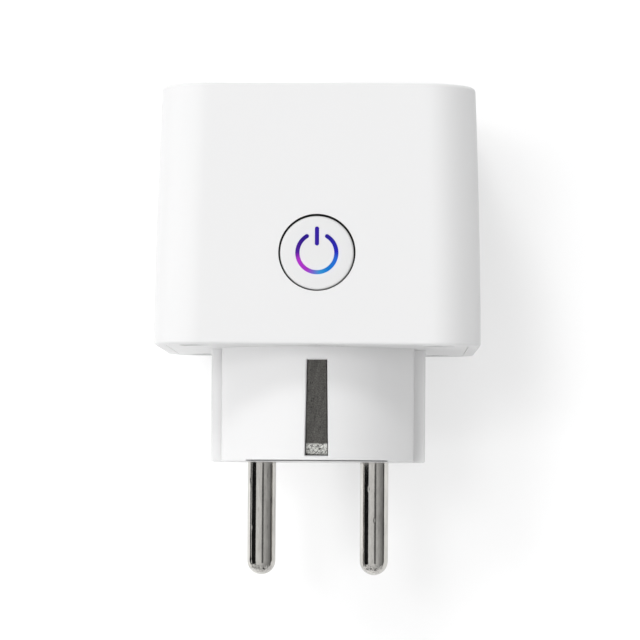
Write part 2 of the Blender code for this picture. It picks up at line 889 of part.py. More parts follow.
def make_main_board():
    half = 22.6
    board = span("main_board", (-half, BOARD_FRONT, -half), (half, BOARD_BACK, half))
    for index, (x, z) in enumerate(COVER_SCREWS):
        low, high = (x, -26, z), (x, -20, z)
        cut(board, rod(f"board_corner_{index + 1}", 3.8, low, high, segments=20))
    for side, word in ((-1, "low"), (1, "high")):
        x = side * PIN_X
        hole = rod(f"board_hole_{word}", 1.8, (x, -26, 0), (x, -20, 0), segments=16)
        slot = box(f"board_slot_{word}", (6.0, 6, 2.9), (0, -23, side * 18.3))
        cut(board, hole, slot)
    return paint(board, FR4)


def make_relay_base():
    low = (-RELAY_LENGTH / 2, ON_BOARD - RELAY_BASE_THICK, RELAY_Z - RELAY_WIDTH / 2)
    high = (RELAY_LENGTH / 2, ON_BOARD, RELAY_Z + RELAY_WIDTH / 2)
    return paint(soften(span("relay_base", low, high), 0.3, 1), BLACK)


def make_relay_cover():
    back = ON_BOARD - RELAY_BASE_THICK - GAP
    half_x, half_z = RELAY_LENGTH / 2, RELAY_WIDTH / 2
    low = (-half_x, RELAY_COVER_FRONT, RELAY_Z - half_z)
    cover = soften(span("relay_cover", low, (half_x, back, RELAY_Z + half_z)), 0.5)
    inner_x, inner_z = half_x - RELAY_WALL, half_z - RELAY_WALL
    low = (-inner_x, RELAY_COVER_FRONT + RELAY_WALL, RELAY_Z - inner_z)
    hollow = span("relay_hollow", low, (inner_x, back + 1, RELAY_Z + inner_z))
    return paint(cut(cover, hollow), RELAY_BLUE)


def make_relay_bobbin():
    profile = [
        (1.6, 4.0),
        (3.3, 4.0),
        (3.3, 3.2),
        (1.9, 3.2),
        (1.9, -3.2),
        (3.3, -3.2),
        (3.3, -4.0),
        (1.6, -4.0),
    ]
    place = (COIL_MIDDLE, COIL_Y, RELAY_Z)
    return paint(turned("relay_bobbin", profile, place, ACROSS, 16), BLACK)


def make_relay_winding():
    profile = [(2.2, 2.9), (3.0, 2.9), (3.0, -2.9), (2.2, -2.9)]
    place = (COIL_MIDDLE, COIL_Y, RELAY_Z)
    return paint(turned("relay_winding", profile, place, ACROSS, 16), COPPER)


def make_relay_core():
    low, high = (-5.35, COIL_Y, RELAY_Z), (3.1, COIL_Y, RELAY_Z)
    return paint(rod("relay_core", 1.3, low, high, ACROSS, 16), IRON)


def make_relay_yoke():
    corners = [(3.2, -26.1, RELAY_Z), (-6.2, -26.1, RELAY_Z), (-6.2, -31.9, RELAY_Z)]
    path = rounded_path(corners, 0.8)
    return paint(ribbon("relay_yoke", path, UP, [6.0] * len(path), 1.0), IRON)


def make_relay_armature():
    """Hinged plate that the core pulls in; its origin is on the hinge axis."""
    origin = (HINGE_X, HINGE_Y, RELAY_Z)
    path = [(HINGE_X, -26.2, RELAY_Z), (HINGE_X, -33.4, RELAY_Z)]
    return paint(ribbon("relay_armature", path, UP, [6.6, 6.6], 0.8, origin), IRON)


def make_relay_moving_contact():
    """Contact blade that rides on the armature, with its rivet."""
    origin = (HINGE_X, HINGE_Y, RELAY_Z)
    x = HINGE_X + 0.85
    path = [(x, -27.4, RELAY_Z), (x, -36.6, RELAY_Z)]
    blade = ribbon("relay_moving_contact", path, UP, [3.6, 3.6], 0.3, origin)
    low, high = (3.75, CONTACT_Y, RELAY_Z), (x, CONTACT_Y, RELAY_Z)
    return paint(join(blade, rod("moving_rivet", 1.0, low, high, ACROSS, 16)), COPPER)


def make_relay_fixed_contact():
    corners = [
        (-7.9, -25.6, RELAY_Z),
        (-7.9, -36.7, RELAY_Z),
        (2.2, -36.7, RELAY_Z),
        (2.2, -34.7, RELAY_Z),
    ]
    path = rounded_path(corners, 0.5)
    strip = ribbon("relay_fixed_contact", path, UP, [3.6] * len(path), 0.5)
    low, high = (2.3, CONTACT_Y, RELAY_Z), (3.1, CONTACT_Y, RELAY_Z)
    return paint(join(strip, rod("fixed_rivet", 1.0, low, high, ACROSS, 16)), COPPER)


def make_transformer_core():
    core = span("transformer_core", (-6.5, -36.4, 8.5), (6.5, -24.4, 13.5))
    for side, word in ((-1, "left"), (1, "right")):
        low = min(side * 1.7, side * 4.9)
        window = span(f"core_window_{word}", (low, -34.2, 7), (low + 3.2, -26.6, 15))
        cut(core, window)
    return paint(core, FERRITE)


def make_transformer_winding():
    winding = soften(span("transformer_winding", (-4.6, -33.9, 6.0), (4.6, -26.9, 16.0)), 0.8)
    hole = span("winding_hole", (-2.0, -36, 8.2), (2.0, -25, 13.8))
    return paint(cut(winding, hole), AMBER_TAPE)


def make_capacitor(name, radius, length, x, z):
    """Electrolytic can with a crimp groove near the board."""
    profile = [
        (0, length),
        (radius - 0.5, length),
        (radius, length - 0.5),
        (radius, 2.2),
        (radius - 0.4, 1.8),
        (radius, 1.4),
        (radius, 0.3),
        (radius - 0.3, 0),
        (0, 0),
    ]
    place = (x, ON_BOARD, z)
    return paint(turned(name, profile, place, ROOM_WAY, 18), SLEEVE_DARK)


def make_film_capacitor():
    low, high = (-22.2, -35.1, -8.0), (-17.6, ON_BOARD, 5.0)
    return paint(soften(span("film_capacitor", low, high), 0.4), FILM_YELLOW)


def make_varistor():
    """Coated disc on two leads."""
    profile = [(0, 1.8), (4.2, 1.8), (5.0, 1.0), (5.0, -1.0), (4.2, -1.8), (0, -1.8)]
    disc = turned("varistor", profile, (-15.0, -31.0, -12.5), ACROSS, 18)
    for index, z in enumerate((-15.0, -10.0)):
        low, high = (-15.0, -28.5, z), (-15.0, ON_BOARD, z)
        join(disc, rod(f"varistor_lead_{index + 1}", 0.35, low, high, segments=8))
    return paint(disc, VARISTOR_BLUE)


def make_fusible_resistor():
    """Upright resistor with bulged ends and a lead into the board."""
    profile = [
        (0, 10.0),
        (1.5, 10.0),
        (1.9, 9.4),
        (1.9, 8.2),
        (1.6, 7.6),
        (1.6, 3.8),
        (1.9, 3.2),
        (1.9, 2.0),
        (1.5, 1.4),
        (0.35, 1.4),
        (0.35, 0),
        (0, 0),
    ]
    place = (14.0, ON_BOARD, -7.0)
    return paint(turned("fusible_resistor", profile, place, ROOM_WAY, 16), RESISTOR_GREEN)


def make_rectifier():
    low, high = (-22.4, -26.6, 8.4), (-18.2, ON_BOARD, 12.4)
    return paint(soften(span("rectifier", low, high), 0.3, 1), BLACK)


def make_metering_chip():
    """Small outline package with four leads on each long side."""
    chip = soften(span("metering_chip", (13.0, -25.8, -14.6), (18.0, -24.3, -10.8)), 0.2, 1)
    for index in range(4):
        x = 13.6 + 1.27 * index
        lead = span(f"chip_lead_{index + 1}", (x - 0.2, -24.6, -15.7), (x + 0.2, ON_BOARD, -9.7))
        join(chip, lead)
    return paint(chip, BLACK)


def make_current_shunt():
    """Resistive bridge over the neutral track."""
    levels = ((ON_BOARD, 3.4), (-27.4, 3.4), (-27.4, -2.6), (ON_BOARD, -2.6))
    path = rounded_path([(15.0, y, z) for y, z in levels], 0.7)
    return paint(ribbon("current_shunt", path, ACROSS, [1.6] * len(path), 0.6), COPPER)


def make_wifi_board():
    low, high = (19.8, -37.6, -8.0), (20.6, ON_BOARD, 8.0)
    return paint(span("wifi_board", low, high), FR4)


def make_wifi_shield():
    low, high = (17.9, -33.6, -6.0), (19.5, -25.4, 6.0)
    return paint(soften(span("wifi_shield", low, high), 0.4), STEEL)


def make_filter_choke():
    """Drum-core choke standing on the board."""
    profile = [
        (0, 8.0),
        (3.2, 8.0),
        (3.2, 6.8),
        (2.8, 6.6),
        (2.8, 1.6),
        (3.2, 1.4),
        (3.2, 0.0),
        (0, 0.0),
    ]
    place = (12.2, ON_BOARD, 15.2)
    return paint(turned("filter_choke", profile, place, ROOM_WAY, 18), FERRITE)


def build():
    make_outer_shell()
    make_back_cover()
    make_pin("pin_line", -PIN_X)
    make_pin("pin_neutral", PIN_X)
    for side, word in ((1, "top"), (-1, "bottom")):
        make_plug_earth_contact(f"plug_earth_contact_{word}", side)
        make_socket_earth_clip(f"socket_earth_clip_{word}", side)
    make_earth_bridge()

    make_socket_insert()
    make_contact_carrier()
    make_contact_sleeve("contact_sleeve_line", -PIN_X)
    make_contact_sleeve("contact_sleeve_neutral", PIN_X)
    make_child_shutter()
    make_shutter_spring()
    for index, (x, z) in enumerate(CARRIER_SCREWS):
        make_screw(f"carrier_screw_{index + 1}", 1.8, 1.0, 0.9, 3.5, (x, -38.0, z))
    for index, (x, z) in enumerate(COVER_SCREWS):
        make_screw(f"cover_screw_{index + 1}", 2.2, 1.4, 1.1, 9.5, (x, SCREW_SEAT, z))

    make_button_cap()
    make_symbol_light_guide()
    make_button_board()
    make_tact_switch_body()
    make_tact_switch_plunger()
    make_indicator_led("indicator_led_left", -3.8)
    make_indicator_led("indicator_led_right", 3.8)
    make_light_collar()
    make_board_link_header()

    make_main_board()
    make_relay_base()
    make_relay_cover()
    make_relay_bobbin()
    make_relay_winding()
    make_relay_core()
    make_relay_yoke()
    make_relay_armature()
    make_relay_moving_contact()
    make_relay_fixed_contact()
    make_transformer_core()
    make_transformer_winding()
    make_capacitor("mains_capacitor", 4.0, 12.0, -13.2, 9.6)
    make_capacitor("output_capacitor", 3.15, 9.0, 12.0, 8.2)
    make_film_capacitor()
    make_varistor()
    make_fusible_resistor()
    make_rectifier()
    make_metering_chip()
    make_current_shunt()
    make_wifi_board()
    make_wifi_shield()
    make_filter_choke()


build()
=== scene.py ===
"""Looks of the compact smart plug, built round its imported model.

Sizes are in millimetres and scaled by MM. +Y points along the pins, -Y out of the socket,
+Z out of the button. The pieces seen from outside are rebuilt with finer meshes in the
places of their nodes, and every node that stays gets a procedural finish.
"""

import json
import math

import bmesh
import bpy
from mathutils import Matrix, Vector


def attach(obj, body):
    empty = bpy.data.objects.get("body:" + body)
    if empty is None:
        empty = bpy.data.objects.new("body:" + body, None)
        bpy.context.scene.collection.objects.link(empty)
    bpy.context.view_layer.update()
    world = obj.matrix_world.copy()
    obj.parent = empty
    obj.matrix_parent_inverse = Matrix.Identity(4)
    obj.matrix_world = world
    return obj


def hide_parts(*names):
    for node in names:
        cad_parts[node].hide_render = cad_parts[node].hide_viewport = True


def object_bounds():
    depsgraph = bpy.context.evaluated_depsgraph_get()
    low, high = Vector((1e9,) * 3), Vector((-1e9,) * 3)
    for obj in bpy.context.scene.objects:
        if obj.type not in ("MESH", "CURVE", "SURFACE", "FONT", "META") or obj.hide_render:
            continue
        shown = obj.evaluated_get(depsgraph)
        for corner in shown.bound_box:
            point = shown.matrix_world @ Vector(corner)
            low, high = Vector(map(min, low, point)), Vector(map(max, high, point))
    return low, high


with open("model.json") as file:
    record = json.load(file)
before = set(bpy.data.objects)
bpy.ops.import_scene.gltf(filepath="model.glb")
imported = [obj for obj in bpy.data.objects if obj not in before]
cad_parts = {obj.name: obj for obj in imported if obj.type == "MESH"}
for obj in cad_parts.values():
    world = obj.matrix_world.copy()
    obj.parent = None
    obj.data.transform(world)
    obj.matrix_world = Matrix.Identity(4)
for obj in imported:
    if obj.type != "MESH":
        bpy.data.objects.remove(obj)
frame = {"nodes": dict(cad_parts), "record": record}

CAD_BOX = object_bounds()
MM = 0.001

# Ways
ACROSS = (1, 0, 0)
WALL_WAY = (0, 1, 0)
ROOM_WAY = (0, -1, 0)
UP = (0, 0, 1)

# Camera
CAMERA_PLACE = (-0.0100, 0.0042, 0.600)
CAMERA_TURNS = {"X": 2.7, "Y": 0.94, "Z": 0.35}
CAMERA_LENS = 199.3

# Casing
SOCKET_END = -61.6
BODY_END = -18.9
BODY_LENGTH = BODY_END - SOCKET_END
HALF_WIDTH = 26.85
TAPER = 1.05
TAPER_POWER = 1.6
CORNER_R = 8.0
CORNER_STEPS = 14
WALL = 2.0
SOCKET_EDGE_R = 0.7
PLUG_EDGE_R = 0.5
EDGE_STEPS = 6
PLATE = 2.0
PLATE_BACK = BODY_END - PLATE
PLATE_SEAM = 0.03
GAP = 0.3

# Plug neck and pins
NECK_R = 18.3
NECK_HOLLOW_R = 14.5
NECK_FACE_WALL = 3.2
NECK_EDGE = 0.2
LEDGE_CORNER = 0.42
CREASE_X = 16.05
LEDGE_Z = 4.5
LEDGE_X = 18.0
GROOVE_Z = 2.75
GROOVE_X = 16.3
PIN_X = 9.5
PIN_R = 2.4
PIN_LENGTH = 19.0
PIN_BACK = -20.0
COLLAR_R = 3.6
COLLAR_FRONT = -3.5
COLLAR_BACK = -5.0
TAIL_R = 1.5
TAIL_END = -24.6
SEAM_REACH = 11.8
SEAM_DEPTH = 1.6
SEAM_SPAN = (0.06, 0.26)

# Cover screws and their posts
COVER_SCREWS = ((20.0, 20.0), (-20.0, 20.0), (-20.0, -20.0), (20.0, -20.0))
POST_R = 3.0
POST_START = SOCKET_END + WALL - 0.5
POST_END = PLATE_BACK - 1.2
POST_RIB_HALF = 0.8
POST_RIB_REACH = 24.9
PILOT_R = 1.3
PILOT_START = -31.0
SCREW_HOLE_R = 1.45
HEAD_ROOM_R = 2.5
HEAD_ROOM_END = -20.7
HEAD_RIM_R = 2.7
HEAD_RIM_SPAN = (-19.15, -18.7)
SCREW_SEAT = -20.4
HEAD_R = 2.2
HEAD_HEIGHT = 1.4
HEAD_ROUND = 0.6
SHANK_R = 1.1
SHANK_LENGTH = 9.5
DRIVE_R = 0.98
DRIVE_LOBE = 0.16
DRIVE_FLOOR = -19.75

# Earth strips and clips
STRIP_Z = 17.0
STRIP_THICK = 0.8
STRIP_START = -16.75
STRIP_END = -1.5
STRIP_NARROW = 3.12
STRIP_WIDE = 3.62
STRIP_BACK = -21.0
STRIP_FOOT = 12.8
STRIP_BEND_R = 0.9
CHANNEL_END = -0.95
CHANNEL_SIDE = 0.12
LIP = 0.28
POCKET_START = -3.7
POCKET_FLOOR = 12.3
CLIP_Z = 17.9
CLIP_THICK = 0.6
CLIP_WIDTH = 5.0
CLIP_PATH = ((-22.1, 17.9), (-46.6, 17.9), (-52.4, 16.8), (-57.0, 18.2), (-58.8, 18.9))
CLIP_BEND_R = 2.4

# Socket
RECESS_R = 19.75
RECESS_FLOOR = -44.1
FLOOR_BACK = -42.1
CUP_R = 21.2
FLANGE_R = 23.4
RIB_X = 16.6
RIB_HALF = 2.3
PIN_HOLE_R = 2.75
PIN_ENTRY = 0.7
PIVOT_R = 1.7
PIVOT_END = -39.0
BOSSES = ((-14.5, 11.0), (14.5, -11.0))
BOSS_R = 2.6
BOSS_END = -39.8
BOSS_HOLE_R = 1.1
SHUTTER_FRONT = FLOOR_BACK + GAP
SHUTTER_THICK = 2.0
BLADE_HALF = 2.9
BLADE_REACH = 10.4
HUB_R = 4.6
SHUTTER_BORE_R = 1.85
SPRING_ROOM_R = 3.5
SPRING_ROOM_DEPTH = 1.2

# Button
BUTTON_Y = -33.75
BUTTON_TOP = 26.7
BUTTON_R = 6.0
BUTTON_GAP = 0.27
BUTTON_SAG = 0.08
# Painted shade: the button hole's wall is black within this radius and below this height
HOLE_SHADE_R = 6.6
HOLE_SHADE_TOP = 26.42
BUTTON_FLANGE_R = 7.0
BUTTON_FLANGE_SPAN = (-3.2, -2.4)
CAP_EDGE_R = 0.42
CAP_INSIDE_R = 4.9
CAP_THICK = 1.4
GUIDE_PROFILE = ((0, -1.7), (4.5, -1.7), (4.5, -2.3), (1.2, -2.3), (1.2, -2.9), (0, -2.9))
RING_R = 3.16
STROKE = 0.62
RING_OPEN = math.radians(31)
BAR_FROM = 1.2
BAR_TO = 4.25


# ---- finishes ----


class Finish:
    """A Principled material and the few node recipes that the finishes share."""

    def __init__(self, name, colour, roughness, metallic=0.0):
        self.material = bpy.data.materials.new(name)
        self.material.use_nodes = True
        self.tree = self.material.node_tree
        self.shader = self.tree.nodes["Principled BSDF"]
        self.shader.inputs["Base Color"].default_value = (*colour, 1)
        self.shader.inputs["Roughness"].default_value = roughness
        self.shader.inputs["Metallic"].default_value = metallic
        self.coords = self.tree.nodes.new("ShaderNodeTexCoord").outputs["Object"]
        self.colour = colour
        self.last_normal = None

    def link(self, start, end):
        self.tree.links.new(start, end)

    def stretched(self, scale):
        """Surface places, stretched along some axes."""
        mapping = self.tree.nodes.new("ShaderNodeMapping")
        mapping.inputs["Scale"].default_value = scale
        self.link(self.coords, mapping.inputs["Vector"])
        return mapping.outputs["Vector"]

    def noise(self, scale, detail=2.0, stretch=None, roughness=0.5, distortion=0.0):
        node = self.tree.nodes.new("ShaderNodeTexNoise")
        node.inputs["Scale"].default_value = scale
        node.inputs["Detail"].default_value = detail
        node.inputs["Roughness"].default_value = roughness
        node.inputs["Distortion"].default_value = distortion
        self.link(self.stretched(stretch) if stretch else self.coords, node.inputs["Vector"])
        return node.outputs["Fac"]

    def cells(self, scale, stretch=None, feature="F1"):
        node = self.tree.nodes.new("ShaderNodeTexVoronoi")
        node.feature = feature
        node.inputs["Scale"].default_value = scale
        self.link(self.stretched(stretch) if stretch else self.coords, node.inputs["Vector"])
        return node.outputs["Distance"]

    def spread(self, value, low, high, to_low=0.0, to_high=1.0):
        node = self.tree.nodes.new("ShaderNodeMapRange")
        node.inputs["From Min"].default_value = low
        node.inputs["From Max"].default_value = high
        node.inputs["To Min"].default_value = to_low
        node.inputs["To Max"].default_value = to_high
        self.link(value, node.inputs["Value"])
        return node.outputs["Result"]

    def math(self, operation, first, second=None):
        node = self.tree.nodes.new("ShaderNodeMath")
        node.operation = operation
        for socket, value in zip(node.inputs, (first, second)):
            if isinstance(value, (int, float)):
                socket.default_value = value
            elif value is not None:
                self.link(value, socket)
        return node.outputs["Value"]

    def place_parts(self):
        """x, y and z of the surface point, in metres."""
        node = self.tree.nodes.new("ShaderNodeSeparateXYZ")
        self.link(self.coords, node.inputs["Vector"])
        return node.outputs

    def blend(self, amount, first, second):
        """Colour between two colours or colour outputs."""
        node = self.tree.nodes.new("ShaderNodeMix")
        node.data_type = "RGBA"
        self.link(amount, node.inputs[0])
        for socket, value in zip((node.inputs[6], node.inputs[7]), (first, second)):
            if isinstance(value, tuple):
                socket.default_value = (*value, 1)
            else:
                self.link(value, socket)
        return node.outputs[2]

    def vary_colour(self, amount, first, second):
        self.colour = self.blend(amount, first, second)
        self.link(self.colour, self.shader.inputs["Base Color"])

    def vary_roughness(self, value, low, high):
        self.link(self.spread(value, 0.3, 0.7, low, high), self.shader.inputs["Roughness"])

    def bump(self, height, depth, strength=1.0):
        """Relief of the given depth in metres, over the relief added before."""
        node = self.tree.nodes.new("ShaderNodeBump")
        node.inputs["Distance"].default_value = depth
        node.inputs["Strength"].default_value = strength
        self.link(height, node.inputs["Height"])
        if self.last_normal:
            self.link(self.last_normal, node.inputs["Normal"])
        self.last_normal = node.outputs["Normal"]
        self.link(self.last_normal, self.shader.inputs["Normal"])


def tinted(colour, factor):
    return tuple(min(1.0, part * factor) for part in colour)


def moulded(name, colour, roughness, grain=5200, depth=0.0000022):
    """Moulded plastic: a faint cloudiness, a fine spark-eroded grain, uneven gloss."""
    finish = Finish(name, colour, roughness)
    cloud = finish.noise(45, 3)
    finish.vary_colour(cloud, tinted(colour, 0.988), tinted(colour, 1.008))
    finish.vary_roughness(finish.noise(700, 3), roughness - 0.05, roughness + 0.07)
    finish.bump(finish.noise(grain, 3), depth)
    finish.bump(finish.noise(160, 2), depth * 2.5, 0.6)
    return finish


def metal(name, colour, roughness, stretch=(1, 0.03, 1), scratch=2600, depth=0.0000012):
    """Plated or stamped metal: drawn lines, a slight stain and small pits."""
    finish = Finish(name, colour, roughness, 1.0)
    lines = finish.noise(scratch, 4, stretch, 0.6)
    stain = finish.noise(190, 4, None, 0.65)
    tone = finish.spread(finish.math("MULTIPLY", lines, stain), 0.12, 0.42)
    finish.vary_colour(tone, tinted(colour, 0.80), tinted(colour, 1.10))
    finish.vary_roughness(stain, roughness - 0.06, roughness + 0.10)
    finish.bump(lines, depth)
    finish.bump(finish.spread(finish.cells(1500), 0.05, 0.22), depth * 2)
    return finish


def circuit_board(name, colour):
    """Solder mask over copper tracks, with a glass weave beneath."""
    finish = Finish(name, colour, 0.35)
    edge = finish.spread(finish.cells(420, None, "DISTANCE_TO_EDGE"), 0.05, 0.09)
    finish.vary_colour(edge, tinted(colour, 1.7), colour)
    finish.vary_roughness(finish.noise(900, 3), 0.28, 0.42)
    finish.bump(edge, 0.00002)
    finish.bump(finish.noise(3000, 2, (1, 0.2, 1)), 0.000004)
    return finish


def wound(name, colour, roughness, pitch, bands):
    """Tape turns: fine bands across the winding."""
    finish = Finish(name, colour, roughness)
    wave = finish.tree.nodes.new("ShaderNodeTexWave")
    wave.bands_direction = bands
    wave.inputs["Scale"].default_value = math.pi / pitch / 10
    wave.inputs["Distortion"].default_value = 0.6
    finish.link(finish.coords, wave.inputs["Vector"])
    finish.vary_colour(wave.outputs["Fac"], tinted(colour, 0.72), tinted(colour, 1.1))
    finish.vary_roughness(finish.noise(800, 3), roughness - 0.06, roughness + 0.1)
    finish.bump(wave.outputs["Fac"], pitch * 0.1)
    return finish


def grainy(name, colour, roughness, scale, contrast=0.35, depth=0.000008):
    """Sintered, dipped or cast surface: fine mottling with a matching relief."""
    finish = Finish(name, colour, roughness)
    mottle = finish.noise(scale, 5, None, 0.65)
    tone = finish.spread(mottle, 0.35, 0.65)
    finish.vary_colour(tone, tinted(colour, 1 - contrast), tinted(colour, 1 + contrast))
    finish.vary_roughness(mottle, roughness - 0.08, roughness + 0.1)
    finish.bump(mottle, depth)
    return finish


WHITE = (0.70, 0.70, 0.702)
NICKEL = (0.60, 0.585, 0.555)
# Earth strips' dark tone: partly their own dull metal, partly a painted dark reflection
STRIP_NICKEL_AND_DARK_REFLECTION = (0.115, 0.112, 0.105)
# Black of the painted shade in the button's hole and on the cap's skirt
PAINTED_SHADE_BLACK = (0.012, 0.012, 0.013)


def make_finishes():
    """One finish for each material slot of the record."""
    return {
        "white_casing": moulded("white_casing", WHITE, 0.42),
        "inner_plastic": moulded("inner_plastic", (0.74, 0.74, 0.72), 0.5, 3500),
        "plated_metal": metal("plated_metal", NICKEL, 0.17),
        "brass_contact": metal("brass_contact", (0.80, 0.60, 0.27), 0.28),
        "copper": metal("copper", (0.76, 0.38, 0.20), 0.30, (0.05, 1, 1)),
        "steel": metal("steel", (0.56, 0.56, 0.57), 0.32, (1, 1, 1), 1800),
        "iron": metal("iron", (0.36, 0.36, 0.38), 0.42, (1, 1, 0.1), 1500, 0.000003),
        "led": moulded("led", (0.92, 0.91, 0.80), 0.30, 2500),
        "black_plastic": moulded("black_plastic", (0.028, 0.028, 0.030), 0.45, 2600, 0.000006),
        "circuit_board": circuit_board("circuit_board", (0.025, 0.16, 0.06)),
        "relay_blue": moulded("relay_blue", (0.03, 0.12, 0.42), 0.36, 2800, 0.000004),
        "winding_tape": wound("winding_tape", (0.78, 0.50, 0.07), 0.32, 0.0011, "Y"),
        "ferrite": grainy("ferrite", (0.07, 0.07, 0.075), 0.60, 1800),
        "capacitor_sleeve": moulded("capacitor_sleeve", (0.04, 0.05, 0.10), 0.30, 900),
        "film_capacitor": grainy("film_capacitor", (0.78, 0.58, 0.09), 0.42, 1200, 0.08),
        "varistor_coat": grainy("varistor_coat", (0.07, 0.20, 0.58), 0.45, 700, 0.15, 0.00003),
        "resistor_coat": grainy("resistor_coat", (0.16, 0.38, 0.28), 0.60, 1500, 0.15),
    }


# Share of a full turn clockwise from the symbol's open side, and the light's colour there
SYMBOL_LIGHT = (
    (0.00, (0.036, 0.012, 0.34)),
    (0.10, (0.024, 0.014, 0.29)),
    (0.24, (0.018, 0.018, 0.46)),
    (0.30, (0.022, 0.140, 0.64)),
    (0.40, (0.004, 0.180, 0.60)),
    (0.48, (0.040, 0.29, 0.64)),
    (0.53, (0.16, 0.13, 0.60)),
    (0.58, (0.38, 0.035, 0.53)),
    (0.69, (0.45, 0.035, 0.57)),
    (0.755, (0.080, 0.012, 0.30)),
    (0.88, (0.026, 0.008, 0.23)),
    (1.00, (0.036, 0.012, 0.34)),
)


def round_button(finish):
    """x and y of the surface point, counted from the button's centre."""
    x, y, _ = finish.place_parts()
    return x, finish.math("SUBTRACT", y, BUTTON_Y * MM)


def from_axis(finish):
    """Distance of the surface point from the button's axis."""
    x, away = round_button(finish)
    squares = [finish.math("MULTIPLY", side, side) for side in (x, away)]
    return finish.math("SQRT", finish.math("ADD", *squares))


def shell_plastic():
    """Casing plastic, with painted shade: black on the button hole's wall, below its rim."""
    finish = moulded("shell_plastic", WHITE, 0.42)
    height = finish.place_parts()["Z"]
    low = finish.math("LESS_THAN", height, HOLE_SHADE_TOP * MM)
    high = finish.math("GREATER_THAN", height, (BUTTON_TOP - 3) * MM)
    inside = finish.math("LESS_THAN", from_axis(finish), HOLE_SHADE_R * MM)
    # Painted shade: the hole's wall below its rim turns black
    hole_shade = finish.math("MULTIPLY", finish.math("MULTIPLY", low, high), inside)
    finish.vary_colour(hole_shade, finish.colour, PAINTED_SHADE_BLACK)
    return finish


def symbol_colour(finish):
    """Colour that runs round the button's centre, from indigo by blue to magenta."""
    x, away = round_button(finish)
    right, ahead = finish.math("MULTIPLY", x, -1.0), finish.math("MULTIPLY", away, -1.0)
    turn = finish.math("ARCTAN2", right, ahead)
    share = finish.math("FRACT", finish.math("DIVIDE", turn, 2 * math.pi))
    ramp = finish.tree.nodes.new("ShaderNodeValToRGB")
    stops = ramp.color_ramp.elements
    for place, _ in SYMBOL_LIGHT[1:-1]:
        stops.new(place)
    for stop, (place, colour) in zip(stops, SYMBOL_LIGHT):
        stop.position = place
        stop.color = (*colour, 1)
    finish.link(share, ramp.inputs["Fac"])
    return ramp.outputs["Color"]


def lit_guide():
    """Clear guide with the LEDs' light in it."""
    finish = Finish("light_symbol", (0.0, 0.0, 0.01), 0.35)
    finish.shader.inputs["Specular IOR Level"].default_value = 0.10
    finish.link(symbol_colour(finish), finish.shader.inputs["Emission Color"])
    finish.shader.inputs["Emission Strength"].default_value = 1.0
    finish.vary_roughness(finish.noise(1800, 3), 0.30, 0.42)
    finish.bump(finish.noise(2400, 2), 0.000002)
    return finish


def lit_cap():
    """White cap whose skirt below the top face is black, as painted shade in the gap round it;
    the plastic beside the symbol glows a little.
    """
    finish = moulded("button_plastic", tinted(WHITE, 0.955), 0.40)
    height = finish.place_parts()["Z"]
    # Painted shade: below its top face the cap is black
    top = finish.spread(height, (BUTTON_TOP - 0.50) * MM, (BUTTON_TOP - 0.40) * MM)
    finish.vary_colour(top, PAINTED_SHADE_BLACK, finish.colour)
    beside = finish.math("SUBTRACT", from_axis(finish), RING_R * MM)
    near = finish.spread(finish.math("ABSOLUTE", beside), 0.0011, 0.0003, 0.0, 0.10)
    glow = finish.blend(near, (0.0, 0.0, 0.0), symbol_colour(finish))
    finish.link(glow, finish.shader.inputs["Emission Color"])
    finish.shader.inputs["Emission Strength"].default_value = 1.0
    return finish


TIP_WEAR = 17.2


def pin_metal():
    """Polished nickel on the pins, with fine wear along them and small dents at the tip."""
    finish = Finish("pin_nickel", NICKEL, 0.13, 1.0)
    lines = finish.noise(3600, 3, (1, 0.02, 1), 0.6)
    wear = finish.noise(650, 5, (1, 0.22, 1), 0.7)
    specks = finish.spread(finish.cells(900, (1, 0.35, 1)), 0.04, 0.20)
    tone = finish.math("MULTIPLY", finish.spread(wear, 0.35, 0.62), specks)
    finish.vary_colour(tone, tinted(NICKEL, 0.78), tinted(NICKEL, 1.06))
    finish.vary_roughness(wear, 0.05, 0.13)
    finish.bump(lines, 0.0000010)
    finish.bump(wear, 0.000008, 0.5)
    finish.bump(specks, 0.000012)
    tip = finish.spread(finish.place_parts()["Y"], TIP_WEAR * MM, (TIP_WEAR + 0.5) * MM)
    dents = finish.spread(finish.noise(2300, 2, None, 0.6), 0.42, 0.58)
    finish.bump(finish.math("MULTIPLY", dents, tip), 0.00007)
    return finish


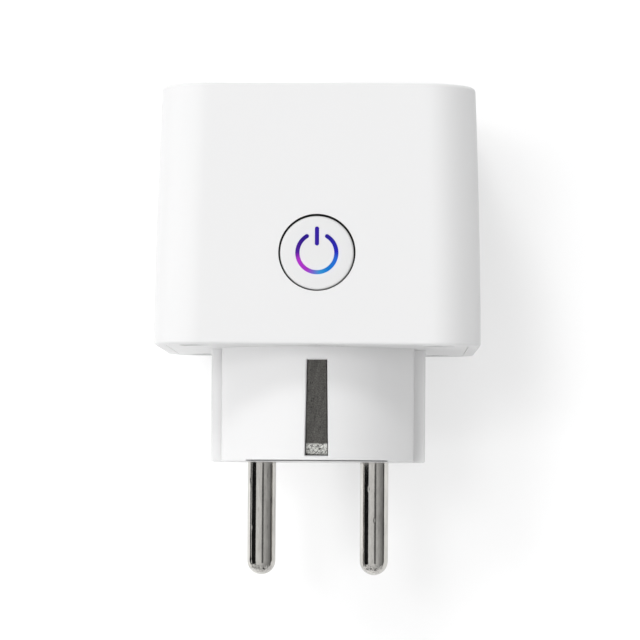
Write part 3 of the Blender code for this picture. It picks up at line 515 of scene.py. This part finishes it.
def strip_metal():
    """Dull nickel on the earth strips: rubbed lines, pits, and a crackled bend with painted
    glints.
    """
    finish = Finish("strip_nickel", STRIP_NICKEL_AND_DARK_REFLECTION, 0.33, 1.0)
    lines = finish.noise(1500, 4, (1, 0.05, 1), 0.65)
    rub = finish.noise(330, 5, (1, 0.25, 1), 0.7, 0.4)
    pits = finish.spread(finish.cells(1300, (1, 0.6, 1)), 0.04, 0.18)
    y = finish.place_parts()["Y"]
    bend = finish.spread(y, (STRIP_END - 1.55) * MM, (STRIP_END - 1.25) * MM)
    crackle = finish.noise(2100, 4, None, 0.75, 1.2)
    grain = finish.spread(finish.noise(4200, 2, None, 0.7), 0.40, 0.60, 0.45, 1.0)
    worn = finish.math("MULTIPLY", finish.spread(rub, 0.33, 0.66, 0.25, 1.0), grain)
    rubbed = finish.math("MULTIPLY", worn, pits)
    dull = finish.blend(rubbed, tinted(STRIP_NICKEL_AND_DARK_REFLECTION, 0.45), tinted(STRIP_NICKEL_AND_DARK_REFLECTION, 2.1))
    # Painted highlight: near-white glints speckle the crackled bend
    glint = finish.spread(crackle, 0.40, 0.52)
    painted_glints = finish.blend(glint, (0.10, 0.098, 0.09), (0.98, 0.98, 0.94))
    finish.vary_colour(bend, dull, painted_glints)
    # Less metal at the bend, so that the painted glints show as colour
    glint_metal_share = finish.spread(bend, 0.0, 1.0, 1.0, 0.35)
    finish.link(glint_metal_share, finish.shader.inputs["Metallic"])
    finish.vary_roughness(rub, 0.26, 0.42)
    finish.bump(lines, 0.000004)
    finish.bump(rub, 0.00002, 0.6)
    finish.bump(finish.math("MULTIPLY", crackle, bend), 0.00016)
    return finish


# ---- camera, floor and lights ----


def link(obj):
    bpy.context.scene.collection.objects.link(obj)
    return obj


def make_camera():
    """Camera above the button, with the socket end at the top of the frame."""
    data = bpy.data.cameras.new("camera")
    data.lens = CAMERA_LENS
    data.sensor_width = 36.0
    data.clip_start = 0.05
    camera = link(bpy.data.objects.new("camera", data))
    place = Matrix.Translation(CAMERA_PLACE) @ Matrix.Rotation(math.pi, 4, "Z")
    for axis, degrees in CAMERA_TURNS.items():
        place = place @ Matrix.Rotation(math.radians(degrees), 4, axis)
    camera.matrix_world = place
    bpy.context.scene.camera = camera


def flat_card(name, width, depth):
    bm = bmesh.new()
    bmesh.ops.create_grid(bm, x_segments=1, y_segments=1, size=0.5)
    bmesh.ops.scale(bm, vec=(width, depth, 1), verts=bm.verts)
    mesh = bpy.data.meshes.new(name)
    bm.to_mesh(mesh)
    bm.free()
    return link(bpy.data.objects.new(name, mesh))


FLOOR_GREY = 0.60
FLOOR_GLOW = 0.345
FLOOR_GLOW_LIT = 0.50
FLOOR_GLOW_SPAN = (-0.010, 0.020)


def make_floor():
    """Plain pale table that glows evenly, with painted light: more glow on the bright side, which
    lightens the shadows there.
    """
    floor = flat_card("floor", 8.0, 8.0)
    floor.location.z = CAD_BOX[0].z
    paper = Finish("floor", (FLOOR_GREY, FLOOR_GREY, FLOOR_GREY), 0.75)
    paper.shader.inputs["Specular IOR Level"].default_value = 0.0
    paper.shader.inputs["Emission Color"].default_value = (1, 1, 1, 1)
    across = paper.place_parts()["X"]
    # Painted light: the floor's glow grows towards the bright side, lightening the shadows cast
    # there
    glow = paper.spread(across, *FLOOR_GLOW_SPAN, FLOOR_GLOW, FLOOR_GLOW_LIT)
    paper.link(glow, paper.shader.inputs["Emission Strength"])
    paper.vary_roughness(paper.noise(900, 3), 0.70, 0.80)
    floor.data.materials.append(paper.material)


# Way of each light, and the share of the floor's brightness that it gives
SUNS = {
    "key": ((0.32, -0.17, 1.0), 0.13),
    "slant": ((0.32, -0.79, 1.0), 0.17),
    "fill": ((1.10, 0.30, 0.60), 0.07),
    "top": ((-0.12, 0.08, 1.0), 0.19),
}
SUN_ANGLE = math.radians(14)


def make_suns():
    """Soft lights above the plug's left shoulder, a low one from its left, one overhead."""
    for name, (way, share) in SUNS.items():
        data = bpy.data.lights.new(name, "SUN")
        data.angle = SUN_ANGLE
        data.energy = math.pi * share / Vector(way).normalized().z
        sun = link(bpy.data.objects.new(name, data))
        sun.visible_glossy = False
        sun.rotation_euler = Vector(way).to_track_quat("Z", "Y").to_euler()


SKY_WAY = (0.78, -0.08, 0.62)
SKY_DIM = 0.20
SKY_BRIGHT = 0.88
BACKDROP = 0.93


def make_world():
    """Pale studio: brighter above the lit shoulder, dimmer on the far side."""
    world = bpy.data.worlds.new("studio")
    bpy.context.scene.world = world
    world.use_nodes = True
    tree = world.node_tree
    coords = tree.nodes.new("ShaderNodeTexCoord")
    lean = tree.nodes.new("ShaderNodeVectorMath")
    lean.operation = "DOT_PRODUCT"
    lean.inputs[1].default_value = Vector(SKY_WAY).normalized()
    level = tree.nodes.new("ShaderNodeMapRange")
    level.interpolation_type = "SMOOTHSTEP"
    level.inputs["From Min"].default_value = -0.9
    level.inputs["From Max"].default_value = 1.0
    level.inputs["To Min"].default_value = SKY_DIM
    level.inputs["To Max"].default_value = SKY_BRIGHT
    tree.links.new(coords.outputs["Generated"], lean.inputs[0])
    tree.links.new(lean.outputs["Value"], level.inputs["Value"])
    glow = tree.nodes["Background"]
    glow.inputs["Color"].default_value = (1, 1, 1, 1)
    tree.links.new(level.outputs["Result"], glow.inputs["Strength"])
    plain = tree.nodes.new("ShaderNodeBackground")
    plain.inputs["Color"].default_value = (1, 1, 1, 1)
    plain.inputs["Strength"].default_value = BACKDROP
    seen = tree.nodes.new("ShaderNodeLightPath")
    choose = tree.nodes.new("ShaderNodeMixShader")
    tree.links.new(seen.outputs["Is Camera Ray"], choose.inputs[0])
    tree.links.new(glow.outputs[0], choose.inputs[1])
    tree.links.new(plain.outputs[0], choose.inputs[2])
    tree.links.new(choose.outputs[0], tree.nodes["World Output"].inputs["Surface"])
    bpy.context.scene.view_settings.view_transform = "Standard"


# Place, turns about X and Y in degrees, width, depth and grey of each card
FLAGS = {
    "flag_left": ((1.05, 0.10, 0.46), (0, 60), 0.85, 0.9, 0.01),
    "flag_table": ((0.715, 0.10, -0.0262), (0, 0), 1.20, 0.9, 0.02),
    "flag_overhead": ((-0.23, 0.10, 1.20), (0, 0), 0.34, 0.9, 0.14),
    "flag_right": ((-1.20, 0.10, 0.11), (0, 90), 0.30, 0.9, 0.07),
    "flag_front": ((0.20, 1.20, 0.28), (90, 0), 1.60, 0.60, 0.03),
}


def make_flags():
    """Dark cards that only polished surfaces mirror, as a studio hangs them for chrome."""
    for name, (place, (turn_x, turn_y), width, depth, grey) in FLAGS.items():
        card = flat_card(name, width, depth)
        card.location = place
        card.rotation_euler = (math.radians(turn_x), math.radians(turn_y), 0)
        cloth = Finish(name, (0, 0, 0), 1.0)
        cloth.shader.inputs["Specular IOR Level"].default_value = 0.0
        cloth.shader.inputs["Emission Color"].default_value = (grey, grey, grey, 1)
        cloth.shader.inputs["Emission Strength"].default_value = 1.0
        card.data.materials.append(cloth.material)
        card.visible_camera = False
        card.visible_diffuse = False
        card.visible_shadow = False
        card.visible_transmission = False


# ---- mesh helpers ----


def scaled(point):
    return Vector(point) * MM


def aim(way):
    return Vector(UP).rotation_difference(Vector(way)).to_matrix().to_4x4()


def from_bmesh(name, bm, place=(0, 0, 0), way=UP):
    """Object at the origin whose mesh is already turned and moved into place."""
    bmesh.ops.remove_doubles(bm, verts=bm.verts, dist=0.0000001)
    bmesh.ops.recalc_face_normals(bm, faces=bm.faces)
    bm.transform(Matrix.Translation(scaled(place)) @ aim(way))
    mesh = bpy.data.meshes.new(name)
    bm.to_mesh(mesh)
    bm.free()
    return link(bpy.data.objects.new(name, mesh))


def settle(obj):
    """Replaces an object's mesh by its evaluated one, modifiers applied."""
    bpy.context.view_layer.update()
    graph = bpy.context.evaluated_depsgraph_get()
    mesh = bpy.data.meshes.new_from_object(obj.evaluated_get(graph))
    obj.modifiers.clear()
    obj.data = mesh
    return obj


def combine(target, tools, operation):
    """Boolean with each tool in turn; the tools are used up."""
    for tool in tools:
        boolean = target.modifiers.new("join", "BOOLEAN")
        boolean.operation = operation
        boolean.solver = "EXACT"
        boolean.object = tool
        settle(target)
        bpy.data.objects.remove(tool)
    return target


def cut(target, *tools):
    return combine(target, tools, "DIFFERENCE")


def join(target, *tools):
    return combine(target, tools, "UNION")


def soften(obj, width, segments=3, angle=40):
    bevel = obj.modifiers.new("edges", "BEVEL")
    bevel.width = width * MM
    bevel.segments = segments
    bevel.limit_method = "ANGLE"
    bevel.angle_limit = math.radians(angle)
    return settle(obj)


def shade(obj, angle=38):
    """Smooth shading with creases kept and flat faces left flat."""
    obj.data.shade_smooth()
    obj.data.set_sharp_from_angle(angle=math.radians(angle))
    weighted = obj.modifiers.new("normals", "WEIGHTED_NORMAL")
    weighted.keep_sharp = True
    weighted.weight = 100
    return settle(obj)


def span(low, high):
    """Box between two opposite corners."""
    bm = bmesh.new()
    bmesh.ops.create_cube(bm, size=1.0)
    bmesh.ops.scale(bm, vec=scaled([b - a for a, b in zip(low, high)]), verts=bm.verts)
    return from_bmesh("tool", bm, [(a + b) / 2 for a, b in zip(low, high)])


def rod(radius, low, high, way=WALL_WAY, segments=64, end_radius=None):
    """Cylinder or cone between two points that lie along the way."""
    low, high = Vector(low), Vector(high)
    bm = bmesh.new()
    bmesh.ops.create_cone(
        bm,
        cap_ends=True,
        segments=segments,
        radius1=radius * MM,
        radius2=(end_radius or radius) * MM,
        depth=(high - low).length * MM,
    )
    return from_bmesh("tool", bm, (low + high) / 2, way)


def arc(radius, start, end, steps, centre=(0, 0)):
    """Points on an arc, both ends included, angles in radians."""
    turns = [start + (end - start) * step / steps for step in range(steps + 1)]
    return [
        (centre[0] + radius * math.cos(a), centre[1] + radius * math.sin(a))
        for a in turns
    ]


def turned(name, profile, place, way=WALL_WAY, steps=96):
    """Solid of revolution through (radius, height) points."""
    bm = bmesh.new()
    rings = []
    for radius, height in profile:
        ring = []
        for step in range(steps if radius else 1):
            angle = 2 * math.pi * step / steps
            point = (radius * math.cos(angle), radius * math.sin(angle), height)
            ring.append(bm.verts.new(scaled(point)))
        rings.append(ring)
    pairs = list(zip(rings, rings[1:]))
    if profile[0][0] > 0:
        pairs.append((rings[-1], rings[0]))
    for first, second in pairs:
        for a in range(steps):
            b = (a + 1) % steps
            corners = [first[a % len(first)], first[b % len(first)]]
            corners += [second[b % len(second)], second[a % len(second)]]
            unique = list(dict.fromkeys(corners))
            if len(unique) > 2:
                bm.faces.new(unique)
    return from_bmesh(name, bm, place, way)


def prism(name, outline, low, high, place=(0, 0, 0), way=UP, flare=0.0):
    """Outline of (x, y) points raised between two heights; flare widens the top."""
    bm = bmesh.new()
    middle_x = sum(x for x, _ in outline) / len(outline)
    middle_y = sum(y for _, y in outline) / len(outline)
    rings = []
    for height, grow in ((low, 0.0), (high, flare)):
        ring = []
        for x, y in outline:
            wide = x + math.copysign(grow, x - middle_x)
            deep = y + math.copysign(grow, y - middle_y)
            ring.append(bm.verts.new(scaled((wide, deep, height))))
        rings.append(ring)
    for a in range(len(outline)):
        b = (a + 1) % len(outline)
        bm.faces.new((rings[0][a], rings[0][b], rings[1][b], rings[1][a]))
    bm.faces.new(rings[0])
    bm.faces.new(rings[1])
    return from_bmesh(name, bm, place, way)


def rounded_path(points, radius, steps=6):
    """Path whose inner corners are replaced by arcs."""
    points = [Vector(point) for point in points]
    path = [points[0]]
    for before, corner, after in zip(points, points[1:], points[2:]):
        back = (before - corner).normalized()
        ahead = (after - corner).normalized()
        half = back.angle(ahead) / 2
        centre = corner + (back + ahead).normalized() * radius / math.sin(half)
        start = corner + back * radius / math.tan(half) - centre
        end = corner + ahead * radius / math.tan(half) - centre
        for step in range(steps + 1):
            path.append(centre + start.slerp(end, step / steps).normalized() * radius)
    return path + [points[-1]]


def ribbon(name, path, across, widths, thickness, edge=0.12):
    """Bent sheet strip along a path, with softened edges."""
    bm = bmesh.new()
    sides = []
    for point, width in zip(path, widths):
        reach = Vector(across) * width / 2
        low, high = scaled(Vector(point) - reach), scaled(Vector(point) + reach)
        sides.append([bm.verts.new(low), bm.verts.new(high)])
    for (a, b), (c, d) in zip(sides, sides[1:]):
        bm.faces.new((a, b, d, c))
    obj = from_bmesh(name, bm)
    solidify = obj.modifiers.new("sheet", "SOLIDIFY")
    solidify.thickness = thickness * MM
    solidify.offset = 0.0
    solidify.use_even_offset = True
    settle(obj)
    return shade(soften(obj, edge, 3, 60))


def rounded_square(half, radius):
    """Ring of (x, z) points."""
    inner = half - radius
    ring = []
    for turn, (side_x, side_z) in enumerate(((1, 1), (-1, 1), (-1, -1), (1, -1))):
        start = math.pi / 2 * turn
        centre = (side_x * inner, side_z * inner)
        ring += arc(radius, start, start + math.pi / 2, CORNER_STEPS, centre)
    return ring


def skin(name, rows):
    """Closed body through rings of (x, y, z) points that all have the same count."""
    bm = bmesh.new()
    rings = [[bm.verts.new(scaled(point)) for point in row] for row in rows]
    for ring, following in zip(rings, rings[1:]):
        for a in range(len(ring)):
            b = (a + 1) % len(ring)
            bm.faces.new((ring[a], ring[b], following[b], following[a]))
    bm.faces.new(rings[0])
    bm.faces.new(rings[-1])
    return from_bmesh(name, bm)


def loft(name, stations):
    """Body through rounded squares, each given as (y, half width, corner radius)."""
    rows = []
    for y, half, radius in stations:
        rows.append([(x, y, z) for x, z in rounded_square(half, radius)])
    return skin(name, rows)


# ---- casing ----


def body_half(y):
    """Half width of the casing: a gentle barrel taper towards the socket end."""
    along = min(max((y - SOCKET_END) / BODY_LENGTH, 0), 1)
    return HALF_WIDTH - TAPER * (1 - along) ** TAPER_POWER


def edge_stations(end, edge_r, inward):
    """Stations that round the casing's edge at one end, from the end face inwards."""
    stations = []
    for step in range(EDGE_STEPS + 1):
        angle = math.pi / 2 * step / EDGE_STEPS
        y = end + inward * edge_r * (1 - math.cos(angle))
        inset = edge_r * (1 - math.sin(angle))
        stations.append((y, body_half(y) - inset, CORNER_R - inset))
    return stations


def barrel_stations(low, high, inset, count):
    stations = []
    for step in range(count + 1):
        y = low + (high - low) * step / count
        stations.append((y, body_half(y) - inset, CORNER_R - inset))
    return stations


def make_casing_shell():
    stations = edge_stations(SOCKET_END, SOCKET_EDGE_R, 1)
    stations += barrel_stations(SOCKET_END + 3, BODY_END - 3, 0, 12)
    stations += reversed(edge_stations(BODY_END, PLUG_EDGE_R, -1))
    shell = loft("casing_shell", stations)
    mouth_low, mouth_high = (0, SOCKET_END - 1, 0), (0, SOCKET_END + WALL + 1, 0)
    hole_y = BUTTON_Y - BUTTON_SAG
    hole_low, hole_high = (0, hole_y, 22), (0, hole_y, 29)
    cut(
        shell,
        loft("tool", barrel_stations(SOCKET_END + WALL, BODY_END + 1, WALL, 8)),
        rod(CUP_R + GAP, mouth_low, mouth_high, segments=128),
        rod(BUTTON_R + BUTTON_GAP, hole_low, hole_high, UP, 160),
    )
    for x, z in COVER_SCREWS:
        near, far = sorted((x * 0.9, math.copysign(POST_RIB_REACH, x)))
        rib_low = (near, POST_START, z - POST_RIB_HALF)
        rib_high = (far, POST_END, z + POST_RIB_HALF)
        post = rod(POST_R, (x, POST_START, z), (x, POST_END, z), segments=32)
        join(shell, span(rib_low, rib_high), post)
        cut(shell, rod(PILOT_R, (x, PILOT_START, z), (x, POST_END + 1, z), segments=24))
    return shade(shell)


def neck_outline():
    """Section of the plug neck: a round with a flat, a ledge and a groove at each side."""
    crease_turn = math.acos(CREASE_X / NECK_R)
    side = [
        (CREASE_X, LEDGE_Z),
        *arc(LEDGE_CORNER, math.pi / 2, 0, 5, (LEDGE_X - LEDGE_CORNER, LEDGE_Z - LEDGE_CORNER)),
        *arc(LEDGE_CORNER, 0, -math.pi / 2, 5, (LEDGE_X - LEDGE_CORNER, GROOVE_Z + LEDGE_CORNER)),
        (GROOVE_X, GROOVE_Z),
    ]
    right = side + [(x, -z) for x, z in reversed(side)]
    bottom = arc(NECK_R, -crease_turn, crease_turn - math.pi, 72)
    left = [(-x, -z) for x, z in right]
    top = [(-x, -z) for x, z in bottom]
    return right + bottom + left + top


def shrunk(outline, inset):
    """Clockwise outline moved inwards by the inset."""
    points = []
    for index, (x, z) in enumerate(outline):
        before = Vector(outline[index - 1])
        after = Vector(outline[(index + 1) % len(outline)])
        along = (after - before).normalized()
        points.append((x + along.y * inset, z - along.x * inset))
    return points


def neck_block():
    """Neck whose face edge is rounded by shrinking sections."""
    outline = neck_outline()
    levels = [(BODY_END - 1, 0.0), (-8.0, 0.0), (-NECK_EDGE, 0.0)]
    for step in range(1, 6):
        angle = math.pi / 2 * step / 5
        levels.append((-NECK_EDGE * (1 - math.sin(angle)), NECK_EDGE * (1 - math.cos(angle))))
    rows = []
    for y, inset in levels:
        rows.append([(x, y, z) for x, z in shrunk(outline, inset)])
    return skin("tool", rows)


def strip_half_width(y):
    along = min(max((y - STRIP_START) / -STRIP_START, 0), 1)
    return (STRIP_NARROW + (STRIP_WIDE - STRIP_NARROW) * along) / 2


def channel_tools(side):
    """Tapered channel with chamfered lips, the tunnel behind it and the end's pocket."""
    floor = STRIP_Z - STRIP_THICK / 2 - GAP
    tunnel_top = STRIP_Z + STRIP_THICK / 2 + 0.15
    narrow = strip_half_width(STRIP_START) + CHANNEL_SIDE
    wide = strip_half_width(CHANNEL_END) + CHANNEL_SIDE
    outline = [
        (-narrow, STRIP_START),
        (narrow, STRIP_START),
        (wide, CHANNEL_END),
        (-wide, CHANNEL_END),
    ]
    tools = [
        prism("tool", outline, floor, NECK_R + 1),
        prism("tool", outline, NECK_R - LIP, NECK_R + 0.4, flare=LIP + 0.4),
        span((-wide, PLATE_BACK - 1, floor), (wide, STRIP_START + 0.5, tunnel_top)),
        span((-wide, POCKET_START, POCKET_FLOOR), (wide, CHANNEL_END, floor + 1)),
    ]
    if side < 0:
        for tool in tools:
            tool.data.transform(Matrix.Rotation(math.pi, 4, "Y"))
    return tools


def face_seam(side):
    """Hairline between the neck's wall and its face plate, either side of the channel."""
    start = math.acos(SEAM_REACH / NECK_R)
    outline = arc(NECK_R + 0.5, start, math.pi - start, 24)
    outline += arc(NECK_R - SEAM_DEPTH, math.pi - start, start, 24)
    tool = prism("tool", outline, *SEAM_SPAN, way=ROOM_WAY)
    if side < 0:
        tool.data.transform(Matrix.Rotation(math.pi, 4, "Y"))
    return tool


def make_rear_cover():
    half = body_half(PLATE_BACK) - WALL - PLATE_SEAM
    radius = CORNER_R - WALL - PLATE_SEAM
    edge = 0.08
    stations = [
        (PLATE_BACK, half, radius),
        (BODY_END - edge, half, radius),
        (BODY_END, half - edge, radius - edge),
    ]
    cover = loft("rear_cover", stations)
    join(cover, neck_block())
    for x, z in COVER_SCREWS:
        low, high = (x, PLATE_BACK - 0.9, z), (x, PLATE_BACK + 0.5, z)
        join(cover, rod(POST_R, low, high, segments=32))
    hollow_low, hollow_high = (0, PLATE_BACK - 1, 0), (0, -NECK_FACE_WALL, 0)
    cut(cover, rod(NECK_HOLLOW_R, hollow_low, hollow_high, segments=96))
    for x in (-PIN_X, PIN_X):
        rim_low, rim_high = (x, -0.3, 0), (x, 0.2, 0)
        cut(
            cover,
            rod(PIN_R + 0.12, (x, -4, 0), (x, 1, 0)),
            rod(PIN_R + 0.10, rim_low, rim_high, end_radius=PIN_R + 0.55),
        )
    cut(cover, *channel_tools(1), *channel_tools(-1), face_seam(1), face_seam(-1))
    for x, z in COVER_SCREWS:
        rim_low, rim_high = [(x, y, z) for y in HEAD_RIM_SPAN]
        cut(
            cover,
            rod(HEAD_ROOM_R, (x, HEAD_ROOM_END, z), (x, -18, z), segments=48),
            rod(HEAD_ROOM_R, rim_low, rim_high, segments=48, end_radius=HEAD_RIM_R),
            rod(SCREW_HOLE_R, (x, -23, z), (x, -18, z), segments=32),
        )
    return shade(cover)


# ---- pins and earth path ----


def make_pin(name, x):
    """Domed pin with a collar behind the neck's face and a thin tail for its wire."""
    dome = arc(PIN_R, math.pi / 2, 0, 12, (0, PIN_LENGTH - PIN_R))
    dome[0] = (0, PIN_LENGTH)
    profile = dome + [
        (PIN_R, 8.0),
        (PIN_R, COLLAR_FRONT),
        (COLLAR_R - 0.1, COLLAR_FRONT),
        (COLLAR_R, COLLAR_FRONT - 0.1),
        (COLLAR_R, COLLAR_BACK),
        (PIN_R, COLLAR_BACK),
        (PIN_R, PIN_BACK),
        (TAIL_R, PIN_BACK - 0.6),
        (TAIL_R, TAIL_END + 0.2),
        (TAIL_R - 0.2, TAIL_END),
        (0, TAIL_END),
    ]
    return shade(turned(name, profile, (x, 0, 0), WALL_WAY, 72))


def make_earth_strip(name, side):
    corners = [
        (0, STRIP_START, side * STRIP_Z),
        (0, STRIP_END - 1.7, side * STRIP_Z),
        (0, STRIP_END, side * (STRIP_Z - 1.5)),
        (0, STRIP_END, side * STRIP_FOOT),
    ]
    path = [Vector((0, STRIP_BACK, side * STRIP_Z))] + rounded_path(corners, STRIP_BEND_R)
    widths = [2 * strip_half_width(point.y) for point in path]
    return ribbon(name, path, ACROSS, widths, STRIP_THICK)


def make_socket_clip(name, side):
    path = rounded_path([(0, y, side * z) for y, z in CLIP_PATH], CLIP_BEND_R)
    return ribbon(name, path, ACROSS, [CLIP_WIDTH] * len(path), CLIP_THICK)


# ---- socket ----


def make_socket_cup():
    """Recess with its guide ribs, rounded entries, bosses and the shutter's pivot."""
    mouth, floor = -SOCKET_END, -RECESS_FLOOR
    profile = [
        (0, floor),
        *arc(0.8, -math.pi / 2, 0, 5, (RECESS_R - 0.8, floor + 0.8)),
        *arc(0.7, math.pi, math.pi / 2, 6, (RECESS_R + 0.7, mouth - 0.7)),
        *arc(0.25, math.pi / 2, 0, 4, (CUP_R - 0.25, mouth - 0.25)),
        (CUP_R, mouth - WALL - GAP),
        (FLANGE_R, mouth - WALL - GAP),
        (FLANGE_R, mouth - WALL - GAP - 1.5),
        (CUP_R, mouth - WALL - GAP - 1.5),
        (CUP_R, -FLOOR_BACK),
        (0, -FLOOR_BACK),
    ]
    cup = turned("socket_cup", profile, (0, 0, 0), ROOM_WAY, 128)
    for side in (-1, 1):
        low, high = sorted((side * RIB_X, side * (RECESS_R + 0.6)))
        rib = span((low, SOCKET_END + 1.6, -RIB_HALF), (high, RECESS_FLOOR + 0.5, RIB_HALF))
        join(cup, soften(rib, 0.4, 4))
    join(cup, rod(PIVOT_R, (0, FLOOR_BACK - 0.5, 0), (0, PIVOT_END, 0), segments=48))
    for x, z in BOSSES:
        join(cup, rod(BOSS_R, (x, FLOOR_BACK - 0.5, z), (x, BOSS_END, z), segments=32))
        cut(cup, rod(BOSS_HOLE_R, (x, FLOOR_BACK - 0.6, z), (x, -38, z), segments=24))
    for x in (-PIN_X, PIN_X):
        rim_low, rim_high = (x, RECESS_FLOOR - 0.2, 0), (x, RECESS_FLOOR + 0.5, 0)
        cut(
            cup,
            rod(PIN_HOLE_R, (x, -46, 0), (x, -41, 0)),
            rod(PIN_HOLE_R + PIN_ENTRY, rim_low, rim_high, end_radius=PIN_HOLE_R),
        )
    reach = CLIP_WIDTH / 2 + GAP
    for side in (-1, 1):
        low, high = sorted((side * (CLIP_Z - 0.6), side * (CLIP_Z + 0.6)))
        cut(cup, span((-reach, -45.1, low), (reach, -41.1, high)))
    return shade(cup)


def make_shutter():
    """Two-bladed shutter on a round hub, bored for its pivot and hollowed for its spring."""
    tip = arc(BLADE_HALF, -math.pi / 2, math.pi / 2, 24, (BLADE_REACH, 0))
    root = math.asin((BLADE_HALF + 0.3) / HUB_R)
    side = tip + arc(HUB_R, root, math.pi - root, 24)
    outline = side + [(-x, -y) for x, y in side]
    back = SHUTTER_FRONT + SHUTTER_THICK
    shutter = prism("shutter_blade", outline, SHUTTER_FRONT, back, way=WALL_WAY)
    room_start = back - SPRING_ROOM_DEPTH
    cut(
        shutter,
        rod(SHUTTER_BORE_R, (0, SHUTTER_FRONT - 1, 0), (0, back + 1, 0), segments=48),
        rod(SPRING_ROOM_R, (0, room_start, 0), (0, back + 1, 0), segments=48),
    )
    return shade(soften(shutter, 0.2, 3))


def make_cover_screw(name, x, z):
    """Pan head screw with a six-lobed recess."""
    centre = (HEAD_R - HEAD_ROUND, HEAD_HEIGHT - HEAD_ROUND)
    profile = [
        (0, HEAD_HEIGHT),
        *arc(HEAD_ROUND, math.pi / 2, 0, 5, centre),
        (HEAD_R, 0),
        (SHANK_R, 0),
        (SHANK_R, 0.6 - SHANK_LENGTH),
        (0, -SHANK_LENGTH),
    ]
    screw = turned(name, profile, (x, SCREW_SEAT, z), WALL_WAY, 48)
    lobes = []
    for step in range(72):
        angle = 2 * math.pi * step / 72
        radius = DRIVE_R + DRIVE_LOBE * math.cos(6 * angle)
        lobes.append((radius * math.cos(angle), radius * math.sin(angle)))
    drive = prism("tool", lobes, DRIVE_FLOOR, -18.0, way=WALL_WAY)
    drive.data.transform(Matrix.Translation(scaled((x, 0, z))))
    return shade(cut(screw, drive))


# ---- button ----


def symbol_outlines(grow):
    """Outlines of the power symbol's open ring and bar, open side towards the socket."""
    half = STROKE / 2 + grow
    start = math.pi / 2 + RING_OPEN
    end = math.pi / 2 - RING_OPEN + 2 * math.pi
    first = (RING_R * math.cos(start), RING_R * math.sin(start))
    last = (RING_R * math.cos(end), RING_R * math.sin(end))
    ring = arc(RING_R + half, start, end, 90)
    ring += arc(half, end, end + math.pi, 12, last)[1:-1]
    ring += arc(RING_R - half, end, start, 90)
    ring += arc(half, start + math.pi, start + 2 * math.pi, 12, first)[1:-1]
    bar = arc(half, 0, math.pi, 16, (0, BAR_TO - STROKE / 2))
    bar += arc(half, math.pi, 2 * math.pi, 16, (0, BAR_FROM + STROKE / 2))
    return [[(-x, -y) for x, y in outline] for outline in (ring, bar)]


def symbol_solids(grow, low, high):
    place = (0, BUTTON_Y, 0)
    return [prism("tool", outline, low, high, place) for outline in symbol_outlines(grow)]


def make_button_face():
    """Cap with a rounded rim and a flange beneath the shell, pierced by the symbol."""
    flange_low, flange_high = BUTTON_FLANGE_SPAN
    profile = [
        (0, 0),
        *arc(CAP_EDGE_R, math.pi / 2, 0, 7, (BUTTON_R - CAP_EDGE_R, -CAP_EDGE_R)),
        (BUTTON_R, flange_high),
        (BUTTON_FLANGE_R, flange_high),
        (BUTTON_FLANGE_R, flange_low),
        (CAP_INSIDE_R, flange_low),
        (CAP_INSIDE_R, -CAP_THICK),
        (0, -CAP_THICK),
    ]
    cap = turned("button_face", profile, (0, BUTTON_Y, BUTTON_TOP), UP, 128)
    cut(cap, *symbol_solids(0.04, BUTTON_TOP - 2, BUTTON_TOP + 1))
    return shade(cap)


def make_light_guide():
    guide = turned("light_guide", GUIDE_PROFILE, (0, BUTTON_Y, BUTTON_TOP), UP, 64)
    join(guide, *symbol_solids(0, BUTTON_TOP - 2.0, BUTTON_TOP - 0.02))
    return shade(guide)


# ---- putting it together ----


def place_piece(piece, finish, body, node):
    """Gives a piece its finish and puts it in the place of its node."""
    piece.data.materials.clear()
    piece.data.materials.append(finish.material)
    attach(piece, body)
    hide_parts(node)


def finish_kept_nodes(finishes):
    """Every node that stays shows the finish of its material slot."""
    slots = {part["node"]: part["material_slot"] for part in frame["record"]["subparts"]}
    for name, node in frame["nodes"].items():
        if slots[name] in finishes:
            node.data.materials.clear()
            node.data.materials.append(finishes[slots[name]].material)


def build():
    finishes = make_finishes()
    white, inner, nickel = (
        finishes["white_casing"],
        finishes["inner_plastic"],
        finishes["plated_metal"],
    )
    place_piece(make_casing_shell(), shell_plastic(), "casing", "outer_shell")
    place_piece(make_rear_cover(), white, "casing", "back_cover")
    place_piece(make_socket_cup(), white, "casing", "socket_insert")
    pins, strips = pin_metal(), strip_metal()
    for word, x in (("line", -PIN_X), ("neutral", PIN_X)):
        pin = make_pin(f"plug_pin_{word}", x)
        place_piece(pin, pins, "casing", f"pin_{word}")
    for word, side in (("top", 1), ("bottom", -1)):
        strip = make_earth_strip(f"earth_strip_{word}", side)
        place_piece(strip, strips, "casing", f"plug_earth_contact_{word}")
        clip = make_socket_clip(f"earth_clip_{word}", side)
        place_piece(clip, nickel, "casing", f"socket_earth_clip_{word}")
    place_piece(make_shutter(), inner, "shutter", "child_shutter")
    for index, (x, z) in enumerate(COVER_SCREWS):
        screw = make_cover_screw(f"rear_screw_{index + 1}", x, z)
        place_piece(screw, finishes["steel"], "casing", f"cover_screw_{index + 1}")
    place_piece(make_button_face(), lit_cap(), "button", "button_cap")
    place_piece(make_light_guide(), lit_guide(), "button", "symbol_light_guide")
    finish_kept_nodes(finishes)


make_camera()
make_floor()
make_suns()
make_world()
make_flags()
build()
